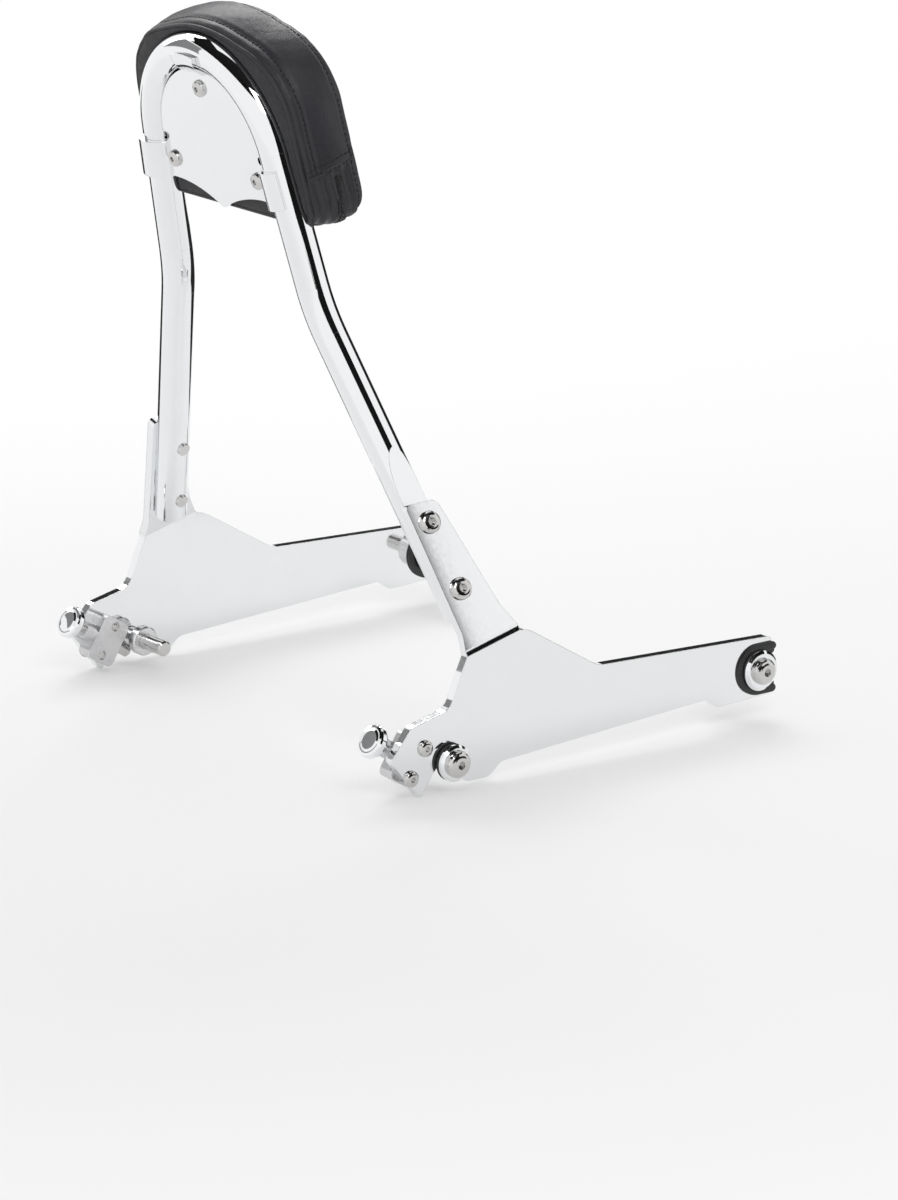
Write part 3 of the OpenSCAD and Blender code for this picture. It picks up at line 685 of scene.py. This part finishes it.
    def clear_bar(self, local: np.ndarray) -> np.ndarray:
        """Presses the bar's groove into the back: points over it sink to its round wall, past a soft lip."""
        place, _ = bar_distance(local, self.arch_r, self.splay)
        wall = self.bar_r + self.bar_room
        aside = np.linalg.norm(local[:, :2] - place[:, :2], axis=1)
        depth = -np.sqrt(np.maximum(wall ** 2 - aside ** 2, 0.0))
        past = np.clip((aside - wall) / self.groove_lip, 0.0, 1.0)
        lip = self.groove_lip * (np.sqrt(1.0 - (1.0 - past) ** 2) - 1.0) + np.maximum(local[:, 2], 0.0)
        floor = np.where(aside < wall, np.minimum(depth, -self.groove_lip), lip)
        near = (aside < wall + self.groove_lip) & (local[:, 2] > -self.bar_r - 2.0)
        sunk = local.copy()
        sunk[:, 2] = np.where(near, np.minimum(local[:, 2], floor), local[:, 2])
        return sunk

    def cushion(self) -> bpy.types.Object:
        """Makes the cushion: remeshed, swollen, subdivided and sewn."""
        points, faces = self.shell()
        thing = make_mesh("pad_cover", self.arch.to_world(points), faces, PAD_VINYL.build())
        outwards(thing)
        remesh = thing.modifiers.new("even_skin", "REMESH")
        remesh.mode = "VOXEL"
        remesh.voxel_size = 0.0045
        apply_modifiers(thing)
        self.puff(thing)
        divide = thing.modifiers.new("finer_skin", "SUBSURF")
        divide.levels = divide.render_levels = 2
        apply_modifiers(thing)
        self.sew(thing)
        thing.data.polygons.foreach_set("use_smooth", np.ones(len(thing.data.polygons), dtype=bool))
        self.paint_back(thing)
        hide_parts("pad_cushion", "pad_back_panel", "pad_board", "pad_inserts")
        return thing

    def paint_back(self, thing: bpy.types.Object) -> None:
        """Gives the flat back its own duller vinyl."""
        thing.data.materials.append(REAR_VINYL.build())
        local = self.arch.to_local(read_points(thing))
        mesh = thing.data
        corners = np.empty(len(mesh.loops), dtype=np.int32)
        mesh.loops.foreach_get("vertex_index", corners)
        start = np.empty(len(mesh.polygons), dtype=np.int32)
        mesh.polygons.foreach_get("loop_start", start)
        centre = (local[corners[start]] + local[corners[start + 2]]) / 2
        normal = np.empty(len(mesh.polygons) * 3, dtype=np.float32)
        mesh.polygons.foreach_get("normal", normal)
        root, tip = self.arch.to_world(np.array([[0.0, 0.0, 0.0], [0.0, 0.0, 1.0]]))
        facing = normal.reshape(-1, 3) @ ((tip - root) / np.linalg.norm(tip - root))
        _, far = bar_distance(centre, self.arch_r, self.splay)
        flat = (centre[:, 2] > self.rear_z - 0.3) & (facing > 0.5)
        groove = (far < self.bar_r + 2.0) & (centre[:, 2] > -self.bar_r - 1.5)
        mesh.polygons.foreach_set("material_index", (flat | groove).astype(np.int32))

    def on_skin(self, tree: BVHTree, local: np.ndarray) -> tuple[np.ndarray, np.ndarray]:
        """Drops places onto the cushion's skin.

        Args:
            tree: the skin.
            local: N x 3 places in local mm.

        Returns:
            The N x 3 places on the skin in metres and the outward directions there.
        """
        hits = [tree.find_nearest(Vector(p)) for p in self.arch.to_world(local)]
        return np.array([h[0][:] for h in hits]), np.array([h[1][:] for h in hits])

    def stitch_row(self, name: str, tree: BVHTree, path: np.ndarray, closed: bool,
                   pitch: float = 3.6) -> bpy.types.Object:
        """Sews a row of stitches: small rounded bars, each laid along the path and sunk by a third.

        Args:
            name: the row's name.
            tree: the cushion's skin.
            path: dense path in local mm.
            closed: whether it closes on itself.
            pitch: distance between stitches in mm.

        Returns:
            The row as one piece.
        """
        run = np.concatenate([[0.0], np.cumsum(np.linalg.norm(np.diff(path, axis=0), axis=1))])
        count = max(3, int(run[-1] / pitch))
        at = np.linspace(0, run[-1], count, endpoint=not closed)
        middles = np.stack([np.interp(at, run, path[:, k]) for k in range(3)], -1)
        places, normals = self.on_skin(tree, middles)
        along = unit(np.gradient(places, axis=0))
        along = unit(along - normals * np.sum(along * normals, 1, keepdims=True))
        across = np.cross(normals, along)
        rows, sides = 7, 8
        u = np.linspace(0, np.pi, rows)
        v = np.linspace(0, 2 * np.pi, sides, endpoint=False)
        length, thick = self.stitch_half * MM, self.stitch_r * MM
        bar = np.stack([np.repeat(-length * np.sign(np.cos(u)) * np.abs(np.cos(u)) ** 0.5, sides),
                        np.outer(thick * np.sqrt(np.sin(u)), np.cos(v)).ravel(),
                        np.outer(thick * np.sqrt(np.sin(u)), np.sin(v)).ravel() * 0.8 + 0.1 * MM], -1)
        points = (places[:, None] + bar[None, :, :1] * along[:, None] + bar[None, :, 1:2] * across[:, None]
                  + bar[None, :, 2:] * normals[:, None]).reshape(-1, 3)
        quads = grid_quads(rows, sides, True)
        faces = (quads[None] + (np.arange(count) * rows * sides)[:, None, None]).reshape(-1, 4)
        thing = make_mesh(name, points, faces, self.thread)
        outwards(thing)
        return thing

    def piping(self, tree: BVHTree) -> bpy.types.Object:
        """Runs the piping round the back's edge: a round cord under vinyl, half sunk in the seam."""
        ring = np.roll(self.outline.ring(4.6, 640), -1, 0)
        kept = ring[ring[:, 1] > self.outline.foot + 4.0]
        path, normals = self.on_skin(tree, np.column_stack([kept, np.full(len(kept), self.rear_z)]))
        turn = np.linspace(0, 2 * np.pi, 12, endpoint=False)
        section = np.stack([np.cos(turn) * self.piping_r + 0.25, np.sin(turn) * self.piping_r], -1) * MM
        points, faces = tube(path, smooth_rows(normals, 7), section)
        thing = make_mesh("pad_piping", points, faces, self.vinyl)
        outwards(thing)
        return thing

    def foot_path(self, z: float, count: int) -> np.ndarray:
        """Gives the path of the zip: down one side from under the flap, along the foot and up the other."""
        ring = np.roll(self.outline.ring(-0.3, count), count // 2, 0)
        kept = ring[ring[:, 1] < self.flap_s - 4.0]
        return np.column_stack([kept, np.full(len(kept), z)])

    def zip(self, tree: BVHTree) -> list[bpy.types.Object]:
        """Makes the zip: two rows of moulded teeth that mesh on the middle line, on a woven tape."""
        path, normals = self.on_skin(tree, self.foot_path(self.rear_z - self.zip_from_rear, 1400))
        tape_section = np.array([[-0.1, -3.0], [0.3, -2.8], [0.4, -1.4], [0.4, 1.4], [0.3, 2.8],
                                 [-0.1, 3.0], [-0.8, 0.0]]) * MM
        step = max(1, len(path) // 260)
        points, faces = tube(path[::step], smooth_rows(normals[::step], 5), tape_section)
        tape = make_mesh("zip_tape", points, faces, THREAD.build())
        outwards(tape)
        run = np.concatenate([[0.0], np.cumsum(np.linalg.norm(np.diff(path, axis=0), axis=1))])
        count = int(run[-1] / (self.tooth_pitch * MM))
        at = np.linspace(0.001, run[-1] - 0.001, count)
        middles = np.stack([np.interp(at, run, path[:, k]) for k in range(3)], -1)
        ups = unit(np.stack([np.interp(at, run, smooth_rows(normals, 9)[:, k]) for k in range(3)], -1))
        along = unit(np.gradient(middles, axis=0))
        across = np.cross(ups, along)
        sign = np.where(np.arange(count) % 2 == 0, 1.0, -1.0)
        cube = np.array([[a, b, c] for a in (-0.5, 0.5) for b in (-0.25, 1.0) for c in (0.0, 1.0)])
        cell = cube * (np.array(self.tooth) * MM)
        points = (middles[:, None] + cell[None, :, :1] * along[:, None]
                  + cell[None, :, 1:2] * (sign[:, None] * across)[:, None]
                  + (cell[None, :, 2:] + 0.2 * MM) * ups[:, None]).reshape(-1, 3)
        quads = np.array([[0, 1, 3, 2], [4, 6, 7, 5], [0, 4, 5, 1], [2, 3, 7, 6], [0, 2, 6, 4], [1, 5, 7, 3]])
        faces = (quads[None] + (np.arange(count) * len(cube))[:, None, None]).reshape(-1, 4)
        teeth = make_mesh("zip_teeth", points, faces, ZIP_TEETH.build())
        outwards(teeth)
        return [tape, teeth]

    def build(self) -> None:
        """Makes every piece of the pad and sets it on the frame's body."""
        self.thread = THREAD.build()
        cover = self.cushion()
        self.vinyl = cover.data.materials[0]
        tree = BVHTree.FromObject(cover, bpy.context.evaluated_depsgraph_get())
        self.pieces = [cover, self.piping(tree)]
        front, rear = self.outline.loop(1.2, self.seam_z, 900), self.open_loop(self.rear_z - self.rear_stitch)
        self.pieces.append(self.stitch_row("front_stitches", tree, front, True))
        self.pieces.append(self.stitch_row("rear_stitches", tree, rear, False))
        for side in Side:
            for row, rise in (("flap_stitches", 1.2), ("flap_tack", 5.0)):
                name = f"{row}_{side.name.lower()}"
                self.pieces.append(self.stitch_row(name, tree, self.flap_line(side, rise), False, 2.8))
        self.pieces += self.zip(tree)
        for thing in self.pieces:
            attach(thing, "frame")
            LOG.info("%s: %d points", thing.name, len(thing.data.vertices))


def smooth_rows(rows: np.ndarray, width: int) -> np.ndarray:
    """Averages each row with its neighbours and scales it to length 1."""
    kernel = np.ones(width) / width
    padded = np.pad(rows, ((width // 2, width // 2), (0, 0)), mode="edge")
    return unit(np.stack([np.convolve(padded[:, k], kernel, mode="valid") for k in range(3)], -1))


def read_points(thing: bpy.types.Object) -> np.ndarray:
    """Reads a mesh's points as N x 3."""
    flat = np.empty(len(thing.data.vertices) * 3, dtype=np.float32)
    thing.data.vertices.foreach_get("co", flat)
    return flat.reshape(-1, 3).astype(float)


def read_normals(thing: bpy.types.Object) -> np.ndarray:
    """Reads a mesh's point normals as N x 3."""
    flat = np.empty(len(thing.data.vertices) * 3, dtype=np.float32)
    thing.data.vertex_normals.foreach_get("vector", flat)
    return flat.reshape(-1, 3).astype(float)


def write_points(thing: bpy.types.Object, points: np.ndarray) -> None:
    """Writes N x 3 places back to a mesh."""
    thing.data.vertices.foreach_set("co", points.astype(np.float32).ravel())
    thing.data.update()


def apply_modifiers(thing: bpy.types.Object) -> None:
    """Replaces an object's mesh by what its modifiers make of it."""
    seen = thing.evaluated_get(bpy.context.evaluated_depsgraph_get())
    mesh = bpy.data.meshes.new_from_object(seen)
    thing.modifiers.clear()
    thing.data = mesh


# The hardware


@dataclass
class Hardware:
    """The rigid parts, which keep the model's own meshes and take a finish each."""

    finishes: dict[str, MetalFinish | PlainFinish] = field(default_factory=lambda: {
        "sissy_bar": CHROME, "side_plate": PLATE_CHROME, "insert_plate": PLATE_CHROME,
        "plate_bolts": POLISHED_STEEL, "insert_screws": POLISHED_STEEL, "latch_screws": POLISHED_STEEL,
        "dock_bolts": POLISHED_STEEL, "dock_washers": CHROME, "dock_spools": TURNED_METAL,
        "dock_rings": RUBBER, "slot_liner": PLASTIC, "latch_housing": SATIN_METAL,
        "latch_plunger": POLISHED_STEEL, "latch_spring": SPRING_STEEL, "latch_knob": CHROME,
        "pad_board": PLASTIC, "pad_inserts": BRASS, "pad_back_panel": REAR_VINYL, "pad_cushion": PAD_VINYL})

    def dress(self, nodes: dict[str, bpy.types.Object]) -> None:
        """Sets each node's material to its finish.

        Args:
            nodes: the model's nodes by name.
        """
        made: dict[str, bpy.types.Material] = {}
        for name, thing in nodes.items():
            stem = name.removesuffix("_right").removesuffix("_left")
            finish = self.finishes[stem]
            if finish.name not in made:
                made[finish.name] = finish.build()
            for slot in thing.material_slots:
                slot.material = made[finish.name]
            LOG.info("%s: %s", name, finish.name)
        for side in Side:
            SlotChannel().build(nodes[f"slot_liner_{side.name.lower()}"], side, made[PLASTIC.name])


@dataclass(frozen=True)
class SlotChannel:
    """Moulded channel in an arm's slot: a core through the plate and a round-ended lip over each face.

    The core and the two lips are three bands that overlap. Each band runs out thin at its two tips,
    which stay open.
    """

    lip: float = 5.4
    lip_out: float = 2.0
    lip_gap: float = 0.02
    core: float = 5.1
    core_in: float = 3.05
    core_short: float = 0.6
    core_back: float = 1.2
    core_front: float = 0.9
    round_off: float = 0.6

    def route(self, radius: float, reach: float, tip: float) -> tuple[np.ndarray, np.ndarray, np.ndarray]:
        """Lays the channel's way round the slot: along the lower prong, round the end and back out.

        Args:
            radius: distance of the band's middle from the slot's axis.
            reach: distance from the axis forwards to the tips.
            tip: half the band's width, which is the radius of its round tips.

        Returns:
            N x 2 places as (forwards, up) from the axis, the outward directions, and the width's share.
        """
        turn = np.radians(np.linspace(270.0, 90.0, 61))
        round_end = np.stack([np.cos(turn), np.sin(turn)], -1)
        out = np.concatenate([np.linspace(reach, reach - tip, 13), np.linspace(reach - tip, 0.0, 8)[1:-1]])
        low = np.column_stack([out, np.full(len(out), -radius)])
        high = np.column_stack([out[::-1], np.full(len(out), radius)])
        places = np.concatenate([low, round_end * radius, high])
        down, up = np.tile([0.0, -1.0], (len(out), 1)), np.tile([0.0, 1.0], (len(out), 1))
        normals = np.concatenate([down, round_end, up])
        past = np.clip((places[:, 0] - (reach - tip)) / tip, 0.0, 0.9999)
        return places, normals, np.where(places[:, 0] > 0, np.sqrt(1.0 - past ** 2), 1.0)

    def band(self, radius: float, width: float, reach: float, inner: float,
             outer: float) -> tuple[np.ndarray, np.ndarray]:
        """Carries a rounded rectangle round the slot.

        Args:
            radius: distance of the band's middle from the slot's axis.
            width: its width.
            reach: distance from the axis to its tips.
            inner: its face towards the middle of the bike, from the plate's outer face outwards.
            outer: its other face.

        Returns:
            Points as (outwards, forwards, up) and faces.
        """
        places, normals, share = self.route(radius, reach, width / 2)
        half, r = width / 2, self.round_off
        arc = np.radians(np.array([0.0, 30.0, 60.0, 90.0]))
        corners = [(half - r, outer - r, 0.0), (-half + r, outer - r, 90.0), (-half + r, inner + r, 180.0),
                   (half - r, inner + r, 270.0)]
        rounds = [(a, b, arc + math.radians(t)) for a, b, t in corners]
        section = np.concatenate([np.stack([a + r * np.cos(t), b + r * np.sin(t)], -1) for a, b, t in rounds])
        across = places[:, None] + (section[None, :, :1] * share[:, None, None]) * normals[:, None]
        depth = np.broadcast_to(section[None, :, 1:], (len(places), len(section), 1))
        points = np.concatenate([depth, across], -1).reshape(-1, 3)
        return points, grid_quads(len(places), len(section), True)

    def build(self, node: bpy.types.Object, side: Side, finish: bpy.types.Material) -> bpy.types.Object:
        """Makes the channel in the place of the model's own plain one.

        Args:
            node: the model's channel, whose box gives the places.
            side: which side it is on.
            finish: its material.

        Returns:
            The new piece.
        """
        corners = np.array([(node.matrix_world @ Vector(c))[:] for c in node.bound_box]) / MM
        low, high = corners.min(0), corners.max(0)
        reach_out = (high[2] - low[2]) / 2
        axis = np.array([0.0, low[1] + reach_out, (low[2] + high[2]) / 2])
        deep = high[0] - low[0] - 2 * self.lip_out
        reach = high[1] - axis[1]
        lip_r, core_r = reach_out - self.lip / 2, reach_out - self.core_in - self.core / 2
        core_reach, core_back = reach - self.core_short, -deep - self.core_back
        bands = [self.band(lip_r, self.lip, reach, self.lip_gap, self.lip_out),
                 self.band(lip_r, self.lip, reach, -deep - self.lip_out, -deep - self.lip_gap),
                 self.band(core_r, self.core, core_reach, core_back, self.core_front)]
        points, faces, count = [], [], 0
        for places, quads in bands:
            points.append(places)
            faces.append(quads + count)
            count += len(places)
        face_x = high[0] - self.lip_out if side is Side.RIGHT else low[0] + self.lip_out
        world = (np.concatenate(points) * [side.value, 1.0, 1.0] + axis + [face_x, 0.0, 0.0]) * MM
        thing = make_mesh(f"slot_channel_{side.name.lower()}", world, np.concatenate(faces), finish)
        outwards(thing)
        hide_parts(node.name)
        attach(thing, "frame")
        return thing


# The studio


@dataclass
class Studio:
    """Camera, soft lights, a pale floor and dark cards that the chrome reflects."""

    camera_at: tuple[float, float, float] = (2.7997, -2.0932, 1.0916)
    azimuth: float = math.radians(52.989)
    elevation: float = math.radians(15.9)
    roll: float = math.radians(-0.19)
    focal_px: float = 6033.0
    picture: tuple[int, int] = (898, 1200)
    target: tuple[float, float, float] = (-0.151, 0.06, 0.2)
    ambient: float = 0.5
    paper: float = 0.55
    lift: float = 0.34
    fade: tuple[float, float] = (0.45, 1.5)
    floor_half: float = 6.0
    bends: int = 37

    def camera(self) -> None:
        """Sets the camera where the photograph was taken: a long lens behind and to the right."""
        data = bpy.data.cameras.new("photo_camera")
        data.sensor_fit = "AUTO"
        data.sensor_width = 36.0
        data.lens = self.focal_px / max(self.picture) * 36.0
        data.clip_end = 50.0
        camera = bpy.data.objects.new("photo_camera", data)
        az, el = self.azimuth, self.elevation
        ahead = Vector((-math.sin(az) * math.cos(el), math.cos(az) * math.cos(el), -math.sin(el)))
        turn = ahead.to_track_quat("-Z", "Y") @ Quaternion((0.0, 0.0, 1.0), self.roll)
        camera.rotation_euler = turn.to_euler()
        camera.location = self.camera_at
        bpy.context.scene.collection.objects.link(camera)
        bpy.context.scene.camera = camera

    def seen_directly(self, tree: bpy.types.NodeTree) -> bpy.types.NodeSocket:
        """Adds the test for rays from the camera, from a gloss or through glass.

        Args:
            tree: the material's or the world's nodes.

        Returns:
            A socket that is 1 for such rays and 0 for the light that falls on the object.
        """
        path = tree.nodes.new("ShaderNodeLightPath")
        both = path.outputs["Is Camera Ray"]
        for name in ("Is Glossy Ray", "Is Transmission Ray"):
            either = tree.nodes.new("ShaderNodeMath")
            either.operation = "MAXIMUM"
            tree.links.new(both, either.inputs[0])
            tree.links.new(path.outputs[name], either.inputs[1])
            both = either.outputs[0]
        return both

    def floor(self, height: float) -> None:
        """Lays the floor: paper with the object's shadow on it, which fades into plain white further out."""
        corners = np.array([[-1.0, -1.0, 0.0], [1.0, -1.0, 0.0], [1.0, 1.0, 0.0], [-1.0, 1.0, 0.0]])
        points = corners * self.floor_half + [0, 0, height]
        floor = make_mesh("floor", points, np.array([[0, 1, 2, 3]]), None)
        sheet = NodeSheet("floor_paper")
        tree = sheet.tree
        paper = (self.paper, self.paper, self.paper, 1.0)
        sheet.constants(Roughness=0.95, Base_Color=paper, Specular_IOR_Level=0.0)
        mapping = sheet.coordinates(Coord.OBJECT, (1.0, 1.0, 0.0))
        mapping.inputs["Location"].default_value = (-self.target[0], -self.target[1], 0.0)
        far = sheet.add("ShaderNodeVectorMath", operation="LENGTH")
        sheet.join(mapping, "Vector", far, 0)
        fade = sheet.between(far, "Value", 0.0, 1.0, *self.fade)
        fade.interpolation_type = "SMOOTHSTEP"
        glow = sheet.add("ShaderNodeEmission")
        glow.inputs["Strength"].default_value = self.lift
        lifted = sheet.add("ShaderNodeAddShader")
        sheet.join(sheet.shader, "BSDF", lifted, 0)
        sheet.join(glow, "Emission", lifted, 1)
        white = sheet.add("ShaderNodeEmission")
        blend = sheet.add("ShaderNodeMixShader")
        sheet.join(fade, "Result", blend, "Fac")
        sheet.join(lifted, "Shader", blend, 1)
        sheet.join(white, "Emission", blend, 2)
        pick = sheet.add("ShaderNodeMixShader")
        tree.links.new(self.seen_directly(tree), pick.inputs["Fac"])
        sheet.join(sheet.shader, "BSDF", pick, 1)
        sheet.join(blend, "Shader", pick, 2)
        sheet.join(pick, "Shader", sheet.output, "Surface")
        floor.data.materials.append(sheet.material)

    def world(self) -> None:
        """Makes the surroundings: white where seen, and a soft grey light on the object."""
        world = bpy.data.worlds.new("studio")
        world.use_nodes = True
        tree = world.node_tree
        tree.nodes.clear()
        out = tree.nodes.new("ShaderNodeOutputWorld")
        mix = tree.nodes.new("ShaderNodeMixShader")
        shades = [tree.nodes.new("ShaderNodeBackground") for _ in range(2)]
        for shade, strength in zip(shades, (self.ambient, 1.0)):
            shade.inputs["Color"].default_value = (1, 1, 1, 1)
            shade.inputs["Strength"].default_value = strength
        tree.links.new(self.seen_directly(tree), mix.inputs["Fac"])
        tree.links.new(shades[0].outputs[0], mix.inputs[1])
        tree.links.new(shades[1].outputs[0], mix.inputs[2])
        tree.links.new(mix.outputs[0], out.inputs["Surface"])
        bpy.context.scene.world = world

    def lamp(self, name: str, at: Sequence[float], size: tuple[float, float], watts: float) -> None:
        """Hangs a soft box that faces the object.

        Args:
            name: the lamp's name.
            at: its place in metres.
            size: its width and height.
            watts: its power.
        """
        data = bpy.data.lights.new(name, "AREA")
        data.shape = "RECTANGLE"
        data.size, data.size_y = size
        data.energy = watts
        lamp = bpy.data.objects.new(name, data)
        lamp.location = at
        lamp.rotation_euler = (Vector(self.target) - Vector(at)).to_track_quat("-Z", "Y").to_euler()
        bpy.context.scene.collection.objects.link(lamp)

    def card(self, name: str, bearing: tuple[float, float], heights: tuple[float, float], away: float,
             grey: float = 0.01) -> None:
        """Stands a dark card, bent round the object, that only reflections see.

        Args:
            name: the card's name.
            bearing: the bearings of its two ends in degrees, from the right forwards.
            heights: the heights of its lower and upper edge in metres.
            away: its distance from the object.
            grey: its colour.
        """
        reach = np.array([away, away])
        self.screen(name, bearing, reach, np.array(heights), grey)

    def sheet(self, name: str, bearing: tuple[float, float], reach: tuple[float, float], height: float,
              grey: float) -> None:
        """Lays a dark sheet flat, as a sector of a ring round the object, that only reflections see."""
        self.screen(name, bearing, np.array(reach), np.array([height, height]), grey)

    def screen(self, name: str, bearing: tuple[float, float], reach: np.ndarray, heights: np.ndarray,
               grey: float) -> None:
        """Makes a dark surface between two arcs round the object, seen by reflections alone.

        Args:
            name: the screen's name.
            bearing: the bearings of its two ends in degrees.
            reach: the distances of its two arcs from the object.
            heights: their heights.
            grey: its colour.
        """
        turn = np.radians(np.linspace(bearing[0], bearing[1], self.bends))
        arcs = [np.column_stack([self.target[0] + r * np.cos(turn), self.target[1] + r * np.sin(turn),
                                 np.full(self.bends, z)]) for r, z in zip(reach, heights)]
        screen = make_mesh(name, np.concatenate(arcs), grid_quads(2, self.bends, False), None)
        sheet = NodeSheet(f"{name}_felt")
        sheet.constants(Roughness=1.0, Base_Color=(grey, grey, grey, 1.0), Specular_IOR_Level=0.0)
        screen.data.materials.append(sheet.material)
        screen.visible_camera = False
        screen.visible_shadow = False
        screen.visible_diffuse = False
        screen.visible_transmission = False

    def build(self, lowest: float) -> None:
        """Sets up the whole studio above a floor at the given height."""
        bpy.context.scene.view_settings.view_transform = "Standard"
        self.camera()
        self.world()
        self.floor(lowest)
        self.lamp("key_box", (1.9, -0.6, 2.2), (1.6, 1.2), 22.0)
        self.lamp("top_box", (-0.6, 0.8, 2.4), (1.8, 1.8), 10.0)
        self.lamp("left_box", (-2.6, -0.3, 1.5), (1.2, 1.6), 9.0)
        self.lamp("rim_box", (-1.9, 1.1, 1.9), (1.7, 1.0), 28.0)
        self.card("low_card", (-14.0, 45.0), (lowest + 0.01, 0.20), 0.80)
        self.card("high_card", (-20.0, 18.0), (0.20, 1.3), 0.80)
        self.card("far_card", (120.0, 165.0), (0.30, 1.1), 1.6, 0.03)
        self.card("grey_card", (196.0, 230.0), (0.55, 1.45), 1.7, 0.30)
        self.sheet("dark_cloth", (-16.0, 45.0), (0.75, 1.9), lowest + 0.002, 0.012)
        self.sheet("right_edge_cloth", (78.0, 126.0), (0.36, 1.6), lowest + 0.003, 0.02)
        self.sheet("left_edge_cloth", (160.0, 194.0), (0.36, 1.6), lowest + 0.003, 0.03)
        self.card("right_edge_card", (78.0, 118.0), (lowest + 0.01, 0.9), 1.7, 0.02)
        self.sheet("ceiling", (0.0, 360.0), (0.0, 3.4), 2.75, 0.02)


def main() -> None:
    """Builds the hardware's finishes, the pad and the studio, and logs what it makes."""
    logging.basicConfig(level=logging.INFO, format="%(message)s")
    Hardware().dress(frame["nodes"])
    Pad(ArchFrame(ARCH_MIDDLE, ARCH_LEAN)).build()
    Studio().build(CAD_BOX[0][2] - FLOOR_DROP)


if __name__ == "__main__":
    main()
